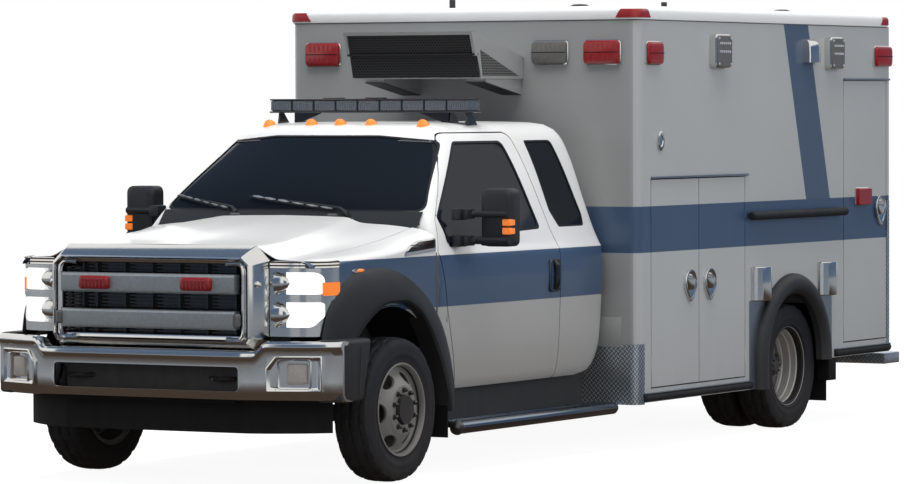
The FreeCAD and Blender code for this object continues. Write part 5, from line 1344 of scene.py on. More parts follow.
for side, sign in (("left", 1), ("right", -1)):
    place = wheel_place(0.965, 0.0, sign)
    tyre = piece("front_tread_" + side, tyre_shape(place), rubber, "tyre_rubber", "front_wheel_" + side, 40)
    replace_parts(tyre, "front_tyre_" + side)
    rim = rim_shape(front_profile, place, 0.19, 0.02, 0.16)
    rim_piece = piece("front_disc_" + side, rim, wheel_steel, "wheel_steel", "front_wheel_" + side)
    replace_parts(rim_piece, "front_rim_" + side)
    hub = turned([(0.001, 0.098), (0.03, 0.097), (0.05, 0.088), (0.056, 0.07), (0.07, 0.066),
        (0.083, 0.064)], place, 24)
    piece("front_nuts_" + side, joined(nut_ring(place, 0.1195, 0.112, 0.024), hub), gloss_black,
        "chassis_steel", "front_wheel_" + side)

    # Rear pair: the outer rim is a deep dish, bolted back to back with the inner one, and the
    # axle's hub stands out of it.
    outer = wheel_place(1.07, rear_arch_y + 0.072, sign)
    inner = wheel_place(0.8, rear_arch_y + 0.072, sign)
    pair = joined(tyre_shape(outer), tyre_shape(inner))
    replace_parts(piece("rear_treads_" + side, pair, rubber, "tyre_rubber", "rear_wheel_" + side, 40),
        "rear_tyres_" + side)
    dish = rim_shape(rear_profile, outer, 0.19, -0.15, 0.0)
    inner_rim = swept([[inner(radius * c, radius * s, -x) for c, s in circle(48)]
        for radius, x in rear_profile], closed=True)
    rims = piece("rear_discs_" + side, joined(dish, inner_rim), dish_steel, "wheel_steel",
        "rear_wheel_" + side)
    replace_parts(rims, "rear_rims_" + side)
    hub = turned([(0.001, 0.012), (0.04, 0.01), (0.056, 0.004), (0.06, -0.006), (0.07, -0.02),
        (0.076, -0.06), (0.08, -0.12)], outer, 28)
    hub_bolts = [turned([(0.001, 0.02), (0.008, 0.018), (0.008, 0.004)],
        lambda a, b, x: outer(0.047 * c + a, 0.047 * s + b, x), 8) for c, s in circle(8)]
    piece("rear_hub_" + side, joined(hub, *hub_bolts), cast_iron, "chassis_steel", "rear_wheel_" + side)
    piece("rear_nuts_" + side, nut_ring(outer, -0.0985, 0.112, 0.03), gloss_black, "chassis_steel",
        "rear_wheel_" + side)

# Tread plate: steel sheet rolled with raised bars that lie crosswise in turn, used flat or bent
# round a corner.
tread, nodes, links, start, end = effect_group("tread_bars", (("Along", 0.0), ("Up", 0.0)),
    (("Mask", "Float"),))
maths = partial(math_node, nodes, links)
turned_pair = [maths(way, start.outputs["Along"], start.outputs["Up"]) for way in ("ADD", "SUBTRACT")]
scaled = [maths("MULTIPLY", value, 33.0) for value in turned_pair]
cells = [maths("FLOOR", value, 0.0) for value in scaled]
parts = [maths("SUBTRACT", maths("SUBTRACT", value, cell), 0.5) for value, cell in zip(scaled, cells)]
odd = maths("PINGPONG", maths("ADD", cells[0], cells[1]), 1.0)
shift = maths("MULTIPLY", odd, maths("SUBTRACT", parts[1], parts[0]))
across = maths("ABSOLUTE", maths("ADD", parts[0], shift), 0.0)
length = maths("ABSOLUTE", maths("SUBTRACT", parts[1], shift), 0.0)
narrow = maths("LESS_THAN", across, 0.16)
short = maths("LESS_THAN", length, 0.46)
links.new(maths("MULTIPLY", narrow, short), end.inputs["Mask"])


def tread_steel(name, along_axes, up_axes, base=(0.24, 0.28, 0.32, 1)):
    material, nodes, links, out = fresh_material(name)
    surface = nodes.new("ShaderNodeBsdfPrincipled")
    surface.inputs["Metallic"].default_value = 0.85
    surface.inputs["Roughness"].default_value = 0.32
    place = height_of(nodes, links)
    sums = [math_node(nodes, links, "ADD", place[axes[0]], place[axes[1]])
        if len(axes) > 1 else place[axes[0]] for axes in (along_axes, up_axes)]
    bars = use_group(nodes, links, tread, Along=sums[0], Up=sums[1])
    # The raised bars are painted much lighter than the sheet between them: a painted highlight on their
    # tops.
    shade = mix_colour(nodes, links, bars, base, (0.8, 0.85, 0.9, 1))
    factor = use_group(nodes, links, mottle, Scale=9.0, Amount=0.25)
    links.new(mix_colour(nodes, links, 1.0, shade, factor, "MULTIPLY"), surface.inputs["Base Color"])
    bump = nodes.new("ShaderNodeBump")
    bump.inputs["Distance"].default_value = 0.0016
    links.new(bars, bump.inputs["Height"])
    links.new(bump.outputs[0], surface.inputs["Normal"])
    links.new(surface.outputs[0], out.inputs[0])
    return material


# The flat plate is laid in a lighter colour than the upright plate: one steel as a lit and a shaded copy,
# painted light and shade.
tread_upright_shaded = tread_steel("tread_plate_upright", "XY", "Z")
tread_flat_lit = tread_steel("tread_plate_flat", "X", "YZ", (0.42, 0.47, 0.53, 1))


# Door mirrors: tall black heads on two telescopic arms, with a pair of amber lamps at the outer
# edge, a glass behind and a triangular foot on the door.
head = pressed(box_outline(1.112, 1.311, 1.291, 1.624), front_place,
    ((0.03, 0.832), (0.012, 0.838), (0.003, 0.85), (0.0, 0.866), (0.0, 0.945), (0.006, 0.956),
    (0.012, 0.958)), 0.042, 6)
band = pressed(box_outline(1.116, 1.307, 1.296, 1.345), front_place,
    ((0.008, 0.826), (0.0, 0.832), (0.0, 0.9)), 0.018, 3)
arm_parts = []
for z, thickness in ((1.478, 0.02), (1.326, 0.022)):
    arm_parts.append(softened(stock((0.995, 1.05), (0.705, 0.8), (z - 0.034, z + 0.034)), 0.007))
    arm_parts.append(softened(stock((1.04, 1.082), (0.735, 0.835), (z - 0.029, z + 0.03)), 0.007))
    arm_parts.append(tube([at(1.066, 0.8, z), at(1.09, 0.826, z), at(1.18, 0.83, z), at(1.296, 0.834, z)],
        thickness, 10))
foot_line = [(0.668, 1.312), (0.812, 1.322), (0.8, 1.5), (0.735, 1.505), (0.676, 1.448)]
foot = sawn(thick(cab_skin(-0.016, 1.2), 0.014), side_tool(foot_line, 0.02), "INTERSECT")
mirror_body = joined(head, band, *arm_parts)
mirror_glass = pressed(box_outline(1.128, 1.294, 1.306, 1.61), front_place,
    ((0.0, 0.957), (0.0, 0.9595), (0.003, 0.961)), 0.03, 5)
ambers = joined(*[pressed(box_outline(1.258, 1.3125, low, low + 0.038), front_place,
    ((0.004, 0.826), (0.0, 0.832), (0.0, 0.885)), 0.008, 3) for low in (1.362, 1.411)])
mirror_rows = (("mirror_body_", mirror_body, black_plastic, "black_plastic"),
    ("mirror_face_", mirror_glass, chrome, "bright_chrome"), ("mirror_foot_", foot, dark_glass,
    "black_plastic"), ("mirror_amber_", ambers, amber_lens, "amber_lens"))
for side, made in on_both_doors(*mirror_rows)[::len(mirror_rows)]:
    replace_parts(made, "mirror_" + side)

# Cab door handles: upright cups moulded in black plastic and let into the door's skin, each
# with a bar to pull and a lock.
cup = pressed(box_outline(1.826, 1.963, 0.992, 1.187), side_place, ((0.0, 1.0), (0.0, 1.033),
    (0.005, 1.0385), (0.016, 1.037), (0.022, 1.025)), 0.022, 5)
grip = tube([at(x, y, z) for x, y, z in ((1.029, 1.9, 1.01), (1.045, 1.902, 1.035), (1.049, 1.903, 1.09),
    (1.045, 1.902, 1.15), (1.029, 1.9, 1.172))], [0.016, 0.018, 0.018, 0.018, 0.014], 8)
lock = turned([(0.001, 1.0405), (0.008, 1.04), (0.01, 1.035)],
    lambda a, b, c: Vector((c, axle_y + 1.938 + a, 1.022 + b)), 12)
handle = joined(cup, grip, lock)
on_both_doors(("door_handle_", handle, gloss_black, "black_plastic"))

# Roof marker lamps: five cones moulded in amber plastic, on small black bases along the front
# of the roof.
markers = []
bases = []
for x, y, z in ((0, 1.15, 1.97), (0.204, 1.16, 1.969), (0.526, 1.21, 1.966), (-0.204, 1.16, 1.969),
        (-0.526, 1.21, 1.966)):
    markers.append(turned([(0.001, 0.052), (0.013, 0.05), (0.025, 0.04), (0.034, 0.022), (0.042, 0.003),
        (0.044, -0.014)], lambda a, b, c: Vector((x + a, axle_y + y + 0.006 + b * 1.35 - c * 0.25, z + c))))
    bases.append(turned([(0.001, 0.004), (0.037, 0.003), (0.041, -0.004), (0.041, -0.03)],
        lambda a, b, c: Vector((x + a, axle_y + y + 0.006 + b * 1.35, z + c)), 20))
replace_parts(piece("roof_markers", joined(*markers), amber_lens, "amber_lens"), "marker_lamps")
piece("roof_marker_bases", joined(*bases), black_plastic, "black_plastic")

# Lightbar: a low black tray and lid with ribbed grey lenses between them, on wedge feet and a
# triangular plate at each side.
bar_parts = []
for low, high, grow in ((2.056, 2.066, 0.0), (2.131, 2.14, 0.002)):
    bar_parts.append(softened(stock((-0.69 + grow, 0.69 - grow), (1.473, 1.621), (low, high)), 0.003))
bar_parts.append(stock((-0.676, 0.676), (1.488, 1.606), (2.062, 2.134)))
bar_lens = []
ribs = []
for k in range(9):
    low = -0.684 + 0.1523 * k
    high = low + 0.146
    if k:
        bar_parts.append(stock((low - 0.007, low + 0.001), (1.474, 1.62), (2.064, 2.133)))
    bar_lens.append(softened(stock((low, high), (1.477, 1.617), (2.068, 2.13)), 0.006))
    for n in range(9):
        x = low + 0.012 + (high - low - 0.024) * n / 8
        for y in (1.477, 1.617):
            ribs.append(tube([at(x, y, 2.074), at(x, y, 2.124)], 0.0045, 6))
for side in (-1, 1):
    for x in (0.53, 0.646):
        outline = [(1.5, 1.97), (1.65, 1.97), (1.56, 2.058), (1.52, 2.058)]
        bar_parts.append(slab(outline, side_place, side * x - 0.006, side * x + 0.006))
    outline = [(side * 0.53, 1.985), (side * 0.53, 2.057), (side * 0.33, 2.057)]
    bar_parts.append(slab(outline, front_place, 1.5, 1.508))
for x in (-0.27, 0.02):
    bar_parts.append(softened(stock((x - 0.06, x + 0.06), (1.5, 1.56), (2.138, 2.147)), 0.003))
housing = piece("lightbar_housing", joined(*bar_parts), gloss_black, "black_plastic")
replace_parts(housing, "lightbar")
piece("lightbar_lenses", joined(*bar_lens, *ribs), smoke_lens, "clear_lens")

# Sills and running boards: a black panel under each door, and a bright tube with a ribbed step
# inside it, closed in front by a black ball.
sill = slab([(0.56, 0.285), (2.4, 0.285), (2.44, 0.482), (0.56, 0.482)], side_place, 0.905, 0.935)
piece("sill_panels", mirrored(sill), black_plastic, "black_plastic")
board_parts = [tube([at(1.06, y, 0.2625) for y in (0.655, 0.7, 1.5, 2.58, 2.6)],
    [0.0375, 0.0375, 0.0375, 0.0375, 0.03], 24)]
for k in range(5):
    x = 0.945 + 0.019 * k
    board_parts.append(softened(stock((x, x + 0.01), (0.68, 2.56), (0.285, 0.298)), 0.003))
boards = piece("board_tubes", mirrored(joined(*board_parts)), running_steel, "bright_chrome")
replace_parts(boards, "running_boards")
plank = softened(stock((0.925, 1.055), (0.68, 2.56), (0.262, 0.288)), 0.004)
ball = turned([(0.001, -0.045), (0.016, -0.042), (0.03, -0.033), (0.039, -0.02), (0.0425, -0.003),
    (0.04, 0.012), (0.034, 0.022)], lambda a, b, c: Vector((1.06 + a, axle_y + 0.655 + c, 0.2625 + b)), 24)
stays = [block((0.78, x), (axle_y + y, axle_y + y + 0.04), (0.255, z))
    for x, z in ((0.96, 0.3), (0.82, 0.44)) for y in (0.72, 1.45, 2.2)]
piece("board_planks", mirrored(joined(plank, ball, *stays)), gloss_black, "black_plastic")

# Cab seats: foam cushions and backs under dark vinyl, crowned on every face, on steel pedestals
# that stand on the cab's floor.
vinyl = finish("vinyl", (0.045, 0.047, 0.052, 1), 0.45, drift=(14.0, 0.12), dust=(0.5, 0.05),
    grained=(420.0, 0.0008))


def cushion(low, high, crown=0.018):
    """A crowned pad between two corners."""
    shape = bmesh.new()
    bmesh.ops.create_cube(shape, size=2.0)
    bmesh.ops.subdivide_edges(shape, edges=shape.edges, cuts=9, use_grid_fill=True)
    middle = (Vector(low) + Vector(high)) / 2
    half = (Vector(high) - Vector(low)) / 2
    for vertex in shape.verts:
        u = vertex.co.copy()
        size = max(abs(u.x), abs(u.y), abs(u.z))
        swell = [(1 - u[(k + 1) % 3] ** 2) * (1 - u[(k + 2) % 3] ** 2) for k in range(3)]
        spot = Vector([half[k] * (u[k] * (1 - 0.05 * (u[(k + 1) % 3] ** 4 + u[(k + 2) % 3] ** 4)))
            + (crown * swell[k] * math.copysign(1, u[k]) if abs(u[k]) == size else 0.0) for k in range(3)])
        vertex.co = middle + spot
    return shape


seat_low, seat_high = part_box("seats")
for side, x in (("left", 0.43), ("right", -0.43)):
    front = seat_low[1]
    top = seat_high[2]
    bottom = top - 0.68
    seat = cushion((x - 0.245, front + 0.005, bottom - 0.078), (x + 0.245, front + 0.49, bottom + 0.052))
    back = cushion((x - 0.235, front + 0.485, bottom + 0.05), (x + 0.235, front + 0.6, top - 0.01))
    for name, shape in (("seat_cushion_", seat), ("seat_back_", back)):
        piece(name + side, shape, vinyl, "seat_cloth")
pedestals = [block((x - 0.18, x + 0.18), (seat_low[1] + 0.06, seat_low[1] + 0.46),
    (seat_low[2], seat_high[2] - 0.755)) for x in (0.43, -0.43)]
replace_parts(piece("seat_pedestals", joined(*pedestals), trim_plastic, "seat_cloth"), "seats")

# Module roof cap: a white cap with rounded edges over a gutter, with a red lamp across each of
# its corners, two short posts and two flat domes.
MODULE_HALF, MODULE_FRONT, MODULE_REAR = 1.222, 2.607, 6.329
CAP_Z, CORNER_RADIUS = 2.7, 0.062


def roof_outline(lip, radius, steps=8):
    half, front, rear = MODULE_HALF + lip, MODULE_FRONT - lip, MODULE_REAR + lip
    return rounded_outline([(-half, front), (half, front), (half, rear), (-half, rear)], radius, steps)


cap_rings = []
for lip, z in ((-0.02, 2.6165), (0.006, 2.6165), (0.0075, 2.62), (0.0075, 2.662), (0.004, 2.676),
        (-0.004, 2.687), (-0.018, 2.6955), (-0.036, 2.699), (-0.1, 2.7)):
    cap_rings.append([Vector((x, y + axle_y, z)) for x, y in roof_outline(lip, CORNER_RADIUS)])
cap = piece("module_cap", swept(cap_rings), cap_paint, "cab_paint")
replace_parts(cap, "roof_cap")
gutter = swept([[Vector((x, y + axle_y, z)) for x, y in roof_outline(lip, CORNER_RADIUS)]
    for lip, z in ((0.0, 2.61), (0.002, 2.611), (0.002, 2.6155), (0.0, 2.616))], closed=True)
piece("cap_gutter", gutter, inner_grey, "black_rubber")
post = [(0.001, 0.06), (0.017, 0.06), (0.019, 0.057), (0.019, 0.01), (0.026, 0.006), (0.026, -0.004)]
dome = [(0.001, 0.036), (0.04, 0.034), (0.058, 0.026), (0.062, 0.018), (0.075, 0.014), (0.078, -0.004)]
roof_items = [turned(profile, lambda a, b, c: Vector((x + a, axle_y + y + b, CAP_Z + c)), steps) for x, y,
    profile, steps in ((-0.285, 3.007, post, 16), (0.48, 4.436, post, 16), (0.3, 3.61, dome, 24),
    (0.6, 5.955, dome, 24))]
piece("roof_items", joined(*roof_items), black_plastic, "black_plastic")


def side_face(u, v, w):
    return at(MODULE_HALF + w, u, v)


def wall_face(u, v, w):
    return Vector((u, axle_y + MODULE_FRONT - w, v))


def back_face(u, v, w):
    return Vector((u, axle_y + MODULE_REAR + w, v))


def corner_point(s, lip, rear):
    """A point s metres round a corner of the cap, from its front or rear face to its side."""
    radius, arc = CORNER_RADIUS, CORNER_RADIUS * math.pi / 2
    turn = max(-arc / 2, min(arc / 2, s)) / radius + math.pi / 4
    x = MODULE_HALF + lip - radius + radius * math.sin(turn)
    y = radius - lip - radius * math.cos(turn)
    x += min(0.0, s + arc / 2)
    y += max(0.0, s - arc / 2)
    return x, (MODULE_REAR - y if rear else MODULE_FRONT + y)


corner_lamps = []
for rear in (False, True):
    rows = ((2.626, 0.012, 0.145), (2.628, 0.015, 0.146), (2.662, 0.014, 0.125), (2.672, 0.011, 0.115),
        (2.68, 0.006, 0.106))

    def lamp_point(i, j):
        z, lip, reach = rows[j]
        x, y = corner_point(reach * (i - 12) / 12, lip, rear)
        return Vector((x, y + axle_y, z))
    sheet = grid_piece(24, 4, lamp_point)
    if rear:
        bmesh.ops.reverse_faces(sheet, faces=sheet.faces)
    corner_lamps.append(thick(sheet, 0.012))
cap_lamps = mirrored(joined(*corner_lamps))


# Warning and scene lamps: each a bright flange on the wall round a moulded lens of small
# cells, split by a dark line.
dividers = []
LENS_DEPTH = 0.036


def lens_unit(place, low_u, high_u, low_v, high_v):
    """(flange, lens) of a lamp between those edges."""
    outline = box_outline(low_u, high_u, low_v, high_v)
    flange = pressed(outline, place, ((0.0, 0.0), (0.0, 0.01), (0.005, 0.014)), 0.03, 5)
    bodies = [pressed(outline, place, ((0.004, 0.01), (0.004, LENS_DEPTH - 0.014),
        (0.008, LENS_DEPTH - 0.005), (0.017, LENS_DEPTH)), 0.03, 5)]
    middle = (low_v + high_v) / 2
    dividers.append(mirrored(tube([place(u, middle, LENS_DEPTH - 0.0015)
        for u in (low_u + 0.012, high_u - 0.012)], 0.0032, 6)))
    for low, high in ((low_v, middle), (middle, high_v)):
        columns = max(3, round((high_u - low_u) / 0.04))
        for k in range(columns):
            u = low_u + 0.028 + (high_u - low_u - 0.056) * (k + 0.5) / columns
            bodies.append(tube([place(u, low + 0.02, LENS_DEPTH - 0.002),
                place(u, high - 0.02, LENS_DEPTH - 0.002)], 0.0045, 6))
    return flange, joined(*bodies)


reds, clears, flanges = [cap_lamps], [], []
for bodies, *edges in ((reds, side_face, 2.697, 2.905, 2.34, 2.484),
        (reds, side_face, 6.062, 6.326, 2.345, 2.487), (reds, wall_face, 0.858, 1.112, 2.342, 2.494),
        (reds, back_face, 0.94, 1.18, 2.345, 2.487), (reds, back_face, 0.8, 1.0, 0.56, 0.66),
        (clears, wall_face, 0.5, 0.752, 2.345, 2.494), (clears, back_face, 0.66, 0.9, 2.345, 2.487)):
    flange, body = lens_unit(*edges)
    bodies.append(mirrored(body))
    flanges.append(mirrored(flange))
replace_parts(piece("warning_lenses", joined(*reds), red_lens, "red_lens"), "warning_lamps")
diodes = []
for low_u, high_u in ((3.588, 3.812), (5.293, 5.507)):
    flanges.append(mirrored(pressed(box_outline(low_u, high_u, 2.328, 2.536), side_face,
        ((0.0, 0.0), (0.0, 0.04), (0.008, 0.047)), 0.03, 5)))
    clears.append(mirrored(pressed(box_outline(low_u + 0.012, high_u - 0.008, 2.332, 2.53), side_face,
        ((0.0, 0.044), (0.0, 0.05), (0.005, 0.055)), 0.03, 5)))
    for v in (2.428, 2.48):
        for k in range(6):
            u = low_u + 0.05 + (high_u - low_u - 0.09) * k / 5
            diodes.append(pressed(box_outline(u - 0.01, u + 0.01, v - 0.01, v + 0.01), side_face,
                ((0.0, 0.052), (0.003, 0.0565)), 0.006, 2))
    for u in (low_u + 0.032, high_u - 0.026):
        for v in (2.352, 2.512):
            diodes.append(turned([(0.001, 0.058), (0.006, 0.0575), (0.008, 0.054)],
                lambda a, b, c: side_face(u + a, v + b, c), 10))
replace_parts(piece("scene_lenses", joined(*clears), dull_lens, "clear_lens"), "scene_lamps")
piece("scene_diodes", mirrored(joined(*diodes)), clear_lens, "clear_lens")
piece("lens_dividers", joined(*dividers), deep_black, "red_lens")
piece("lamp_flanges", joined(*flanges), chrome, "bright_chrome")
door_red = pressed(box_outline(5.768, 5.974, 1.428, 1.54), side_face,
    ((0.0, 0.006), (0.0, 0.032), (0.006, 0.038)), 0.012, 4)
door_base = pressed(box_outline(5.764, 5.978, 1.424, 1.544), side_face,
    ((0.0, 0.0), (0.0, 0.009), (0.004, 0.012)), 0.012, 4)
piece("tall_door_lamp", door_red, red_lens, "red_lens", "tall_door_left")
piece("tall_door_flange", door_base, chrome, "bright_chrome", "tall_door_left")


# Chromed pressings on the left: a vent box with a rounded top high up, and a bulged cover over
# each filler.
vent_rings = []
for z, depth, shrink in ((2.369, 0.06, 0.0), (2.42, 0.06, 0.0), (2.47, 0.058, 0.0), (2.492, 0.052, 0.006),
        (2.508, 0.04, 0.016), (2.517, 0.022, 0.028), (2.52, 0.006, 0.04)):
    ring = []
    for u, share in ((4.955, -0.05), (4.955, 0.85), (4.96, 0.95), (4.972, 1.0), (5.02, 1.03), (5.08, 1.0),
            (5.12, 0.86), (5.146, 0.6), (5.156, 0.3), (5.156, -0.05)):
        middle = 5.056
        ring.append(side_face(middle + (u - middle) * (1 - shrink / 0.148), z, depth * share))
    vent_rings.append(ring)
fittings = [swept(vent_rings)]
for low_u, high_u, low_z, high_z in ((4.174, 4.412, 0.849, 1.069), (5.172, 5.41, 0.847, 1.069)):
    rings = []
    for t, size in ((0.0, 0.86), (0.008, 0.96), (0.03, 1.0), (0.5, 1.0), (0.97, 1.0), (0.992, 0.96),
            (1.0, 0.86)):
        ring = []
        for k in range(25):
            turn = math.pi * k / 24
            ring.append(side_face((low_u + high_u) / 2 - (high_u - low_u) / 2 * size
                * math.copysign(abs(math.cos(turn)) ** 0.8, math.cos(turn)), low_z + (high_z - low_z) * t,
                0.07 * size * math.sin(turn) ** 0.8 - 0.002))
        rings.append(ring)
    fittings.append(swept(rings))
    screw_u, screw_z = high_u - 0.055, (low_z + high_z) / 2 - 0.01
    fittings.append(turned([(0.001, 0.064), (0.005, 0.063), (0.006, 0.05)],
        lambda a, b, c: side_face(screw_u + a, screw_z + b, c), 10))
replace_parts(piece("side_pressings", joined(*fittings), chrome, "bright_chrome"), "side_fittings")


# Paddle latches: a pressed and chromed dish, round above and drawn to a point below, with a
# paddle to pull in its lower half and a key lock above.
def latch(place, u, v, size=0.084):
    outline = []
    for a, b in circle(32):
        drop = 0.034 * max(0.0, -b) ** 8
        outline.append((u + size * a * 0.93, v + size * b - drop))
    rings = []
    for grow, w in ((1.0, -0.002), (1.0, 0.014), (0.97, 0.0185), (0.86, 0.0205), (0.8, 0.018),
            (0.74, 0.0155), (0.1, 0.015)):
        rings.append([place(u + (a - u) * grow, v + (b - v) * grow, w) for a, b in outline])
    dish = swept(rings)
    paddle = []
    for grow, w in ((1.0, 0.015), (1.0, 0.02), (0.85, 0.025), (0.3, 0.027)):
        ring = []
        for k in range(20):
            turn = math.pi + math.pi * k / 19
            ring.append(place(u + size * 0.62 * math.cos(turn) * grow, v + 0.022 + size * 0.78
                * math.sin(turn) * grow, w))
        paddle.append(ring)
    key = turned([(0.001, 0.022), (0.008, 0.021), (0.009, 0.015)],
        lambda a, b, c: place(u + a, v + size * 0.52 + b, c), 12)
    return joined(dish, swept(paddle), key)


for name, place, u, v, body in (("front_locker_latch", side_face, 3.302, 0.999, "locker_door_front"),
        ("rear_locker_latch", side_face, 3.575, 0.999, "locker_door_rear"),
        ("tall_latch_left", side_face, 6.167, 1.402, "tall_door_left")):
    piece(name, latch(place, u, v), chrome, "bright_chrome", body)
lock_ring = []
for grow, w in ((1.0, -0.002), (1.0, 0.01), (0.86, 0.014), (0.6, 0.012), (0.5, 0.007), (0.1, 0.006)):
    lock_ring.append([side_face(2.901 + 0.043 * grow * c, 1.878 + 0.06 * grow * s, w)
        for c, s in circle(24)])
piece("side_lock", swept(lock_ring), chrome, "bright_chrome")

# Rub rails along the skirts, and the bar above the wheel on its flat strip: round bars of black
# rubber that taper at the ends.
rail_sizes = [0.018, 0.027, 0.027, 0.027, 0.018]
rails = []
for low_u, high_u, z in ((2.672, 4.172, 0.322), (5.44, 6.318, 0.462)):
    rails.append(tube([side_face(u, z, 0.002) for u in (low_u, low_u + 0.012, (low_u + high_u) / 2,
        high_u - 0.012, high_u)], rail_sizes, 14))
bar_path = [side_face(u, 1.393, 0.04) for u in (4.11, 4.122, 4.8, 5.532, 5.544)]
rails.append(tube(bar_path, rail_sizes, 14))
rails.append(stock((1.222, 1.262), (4.16, 5.5), (1.375, 1.411)))
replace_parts(piece("rub_rail_bars", mirrored(joined(*rails)), rubber, "black_rubber"), "rub_rails")
caps = [stock((1.2215, 1.2495), (low_u, high_u), (z + 0.022, z + 0.027)) for low_u, high_u,
    z in ((2.68, 4.165, 0.322), (5.448, 6.31, 0.462))]

arch_steel = finish("arch_steel", (0.3, 0.34, 0.38, 1), 0.3, metal=0.9, drift=(3.0, 0.08), dust=(0.9, 0.3),
    grained=(90.0, 0.0003))

# Drip rails over the doors and the panel round the wheel opening: stainless steel strip and
# sheet, fixed flat to the wall.
for low_u, high_u, z in ((2.777, 4.132, 1.655), (5.586, 6.322, 2.262)):
    caps.append(softened(stock((1.2205, 1.2365), (low_u, high_u), (z - 0.006, z + 0.007)), 0.002))
panel = slab([(4.152, 0.291), (4.34, 0.291), (4.34, 0.405), (5.23, 0.405), (5.23, 0.432), (5.4, 0.432),
    (5.4, 0.85), (4.152, 0.85)], side_place, 1.2195, 1.2245)
opening = slab([(4.4, 0.2)] + arch_path(0.47, 0.22, 0.22)[::-1], side_place, 1.0, 1.4)
panel = sawn(panel, opening.copy())
piece("side_brightwork", mirrored(joined(panel, *caps)), arch_steel, "bright_chrome")
infill = slab(box_outline(4.2, 5.4, 0.85, 1.08), side_place, 1.2195, 1.224)
infill = sawn(infill, opening)
piece("arch_infill", mirrored(infill), module_paint, "module_paint")
plate = softened(stock((0.7, 1.11), (2.6, 2.6065), (0.63, 0.812)), 0.002)
piece("wall_plates", mirrored(plate), module_paint, "module_paint")
hanger = softened(stock((1.15, 1.236), (5.33, 5.446), (0.285, 0.431)), 0.004)
piece("flap_hangers", mirrored(hanger), deep_black, "black_rubber")

# Diamond plate: guards round the module's lower front corners, a strip up each rear corner and
# the rear step.
def bent_plate(path, low, high, depth=0.004):
    shape = grid_piece(len(path) - 1, 1, lambda i, j: Vector((path[i][0], path[i][1] + axle_y, high
        if j else low)))
    return thick(shape, depth)


corner = [(1.162 + 0.064 * math.sin(math.radians(9 * k)), 2.667 - 0.064 * math.cos(math.radians(9 * k)))
    for k in range(11)]
guards = bent_plate([(0.8, 2.603)] + corner + [(1.226, 2.684)], 0.281, 0.648)
rear_corner = [(1.2265, 6.285), (1.2265, 6.325), (1.219, 6.3335), (1.12, 6.3335)]
guards = joined(guards, bent_plate(rear_corner, 0.432, 1.45))
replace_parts(piece("corner_guards", mirrored(guards), tread_upright_shaded, "tread_plate"), "stone_guards")
step_parts = [softened(stock((-1.19, 1.19), (6.331, 6.581), (0.342, 0.416)), 0.008)]
step_parts += [stock((side * 0.43 - 0.035, side * 0.43 + 0.035), (6.13, 6.35), (0.345, 0.47))
    for side in (-1, 1)]
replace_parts(piece("rear_step_plate", joined(*step_parts), tread_flat_lit, "tread_plate"), "rear_step")

# Condenser on the module's front wall: two perforated black panels, the upper a little ahead of the
# lower, in a painted housing whose sides carry a triangle of the same mesh.
holes, nodes, links, start, end = effect_group("hole_rows", (("Along", 0.0), ("Up", 0.0)),
    (("Mask", "Float"),))
maths = partial(math_node, nodes, links)
row = maths("MULTIPLY", start.outputs["Up"], 64.0)
line = maths("FLOOR", row, 0.0)
shift = maths("MULTIPLY", maths("PINGPONG", line, 1.0), 0.5)
column = maths("ADD", maths("MULTIPLY", start.outputs["Along"], 50.0), shift)
offset_u = maths("SUBTRACT", maths("SUBTRACT", column, maths("FLOOR", column, 0.0)), 0.5)
offset_v = maths("SUBTRACT", maths("SUBTRACT", row, line), 0.5)
spread = maths("ADD", maths("MULTIPLY", offset_u, offset_u), maths("MULTIPLY", offset_v, offset_v))
links.new(maths("LESS_THAN", spread, 0.095), end.inputs["Mask"])


def perforated(name, colour):
    material, nodes, links, out = fresh_material(name)
    surface = nodes.new("ShaderNodeBsdfPrincipled")
    place = height_of(nodes, links)
    along = math_node(nodes, links, "ADD", place["X"], place["Y"])
    dark = use_group(nodes, links, holes, Along=along, Up=place["Z"])
    links.new(mix_colour(nodes, links, dark, colour, (0.002, 0.002, 0.002, 1)), surface.inputs["Base Color"])
    surface.inputs["Roughness"].default_value = 0.6
    surface.inputs["Specular IOR Level"].default_value = 0.25
    links.new(surface.outputs[0], out.inputs[0])
    return material


black_mesh = perforated("black_mesh", (0.03, 0.03, 0.032, 1))
grey_mesh = perforated("grey_mesh", (0.13, 0.13, 0.13, 1))


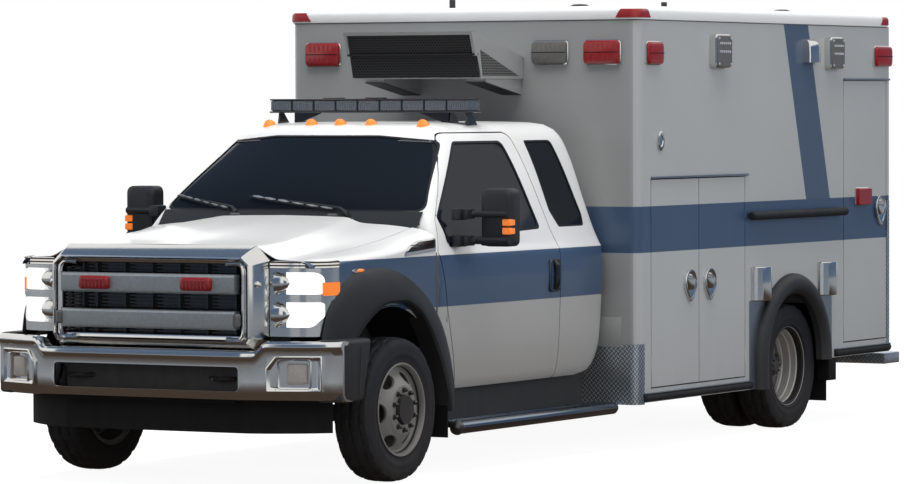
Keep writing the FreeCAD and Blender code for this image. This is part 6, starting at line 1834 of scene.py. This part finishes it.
def tilted_panel(low, high, half_x, depth=0.012):
    """A plate between a lower and an upper edge, each (Y, Z)."""
    outline = [(low[0], low[1]), (high[0], high[1]), (high[0] + depth, high[1]), (low[0] + depth, low[1])]
    return slab(outline, side_place, -half_x, half_x)


panels = [tilted_panel((1.986, 2.408), (1.95, 2.524), 0.42), tilted_panel((2.04, 2.266), (2.004, 2.4), 0.44),
    tilted_panel((1.978, 2.398), (1.976, 2.41), 0.443, 0.05)]
piece("condenser_mesh", joined(*panels), black_mesh, "black_plastic")
low, high, half_x = (1.984, 2.396), (1.936, 2.54), 0.438
rims = [slab([low, high, (high[0] + 0.03, high[1]), (low[0] + 0.03, low[1])], side_place, side * half_x
    - 0.009, side * half_x + 0.009) for side in (-1, 1)]
rims.append(slab([(high[0] + 0.005, 2.522), high, (high[0] + 0.03, high[1]), (high[0] + 0.03, 2.522)],
    side_place, -half_x, half_x))
piece("condenser_rim", joined(*rims), module_paint, "module_paint")
triangle = slab([(2.085, 2.276), (2.54, 2.276), (2.055, 2.432)], side_place, 0.436, 0.4425)
piece("condenser_side_mesh", mirrored(triangle), grey_mesh, "black_plastic")
# Thin black sheets under the condenser's gussets: a dark sheet standing in for the shade beneath them,
# painted shade.
shade_soffit = slab([(2.15, 2.2395), (2.607, 2.1625), (2.607, 2.1595), (2.15, 2.2365)], side_place, 0.288, 0.422)
piece("gusset_soffits", mirrored(shade_soffit), black_plastic, "black_plastic")

# Bench: a foam seat pad and a back pad under the same vinyl, the one on the bench box, the
# other on the right wall behind it.
pad_low, pad_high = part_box("bench_pads")
bench_seat = cushion((pad_low[0] + 0.082, pad_low[1] + 0.004, pad_low[2]),
    (pad_high[0] - 0.004, pad_high[1] - 0.004, pad_low[2] + 0.074), 0.01)
bench_back = cushion((pad_low[0] + 0.002, pad_low[1] + 0.004, pad_low[2] + 0.112),
    (pad_low[0] + 0.062, pad_high[1] - 0.004, pad_high[2] - 0.004), 0.01)
for name, shape in (("bench_seat_pad", bench_seat), ("bench_back_pad", bench_back)):
    pad = piece(name, shape, vinyl, "bench_vinyl")
    if name == "bench_seat_pad":
        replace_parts(pad, "bench_pads")
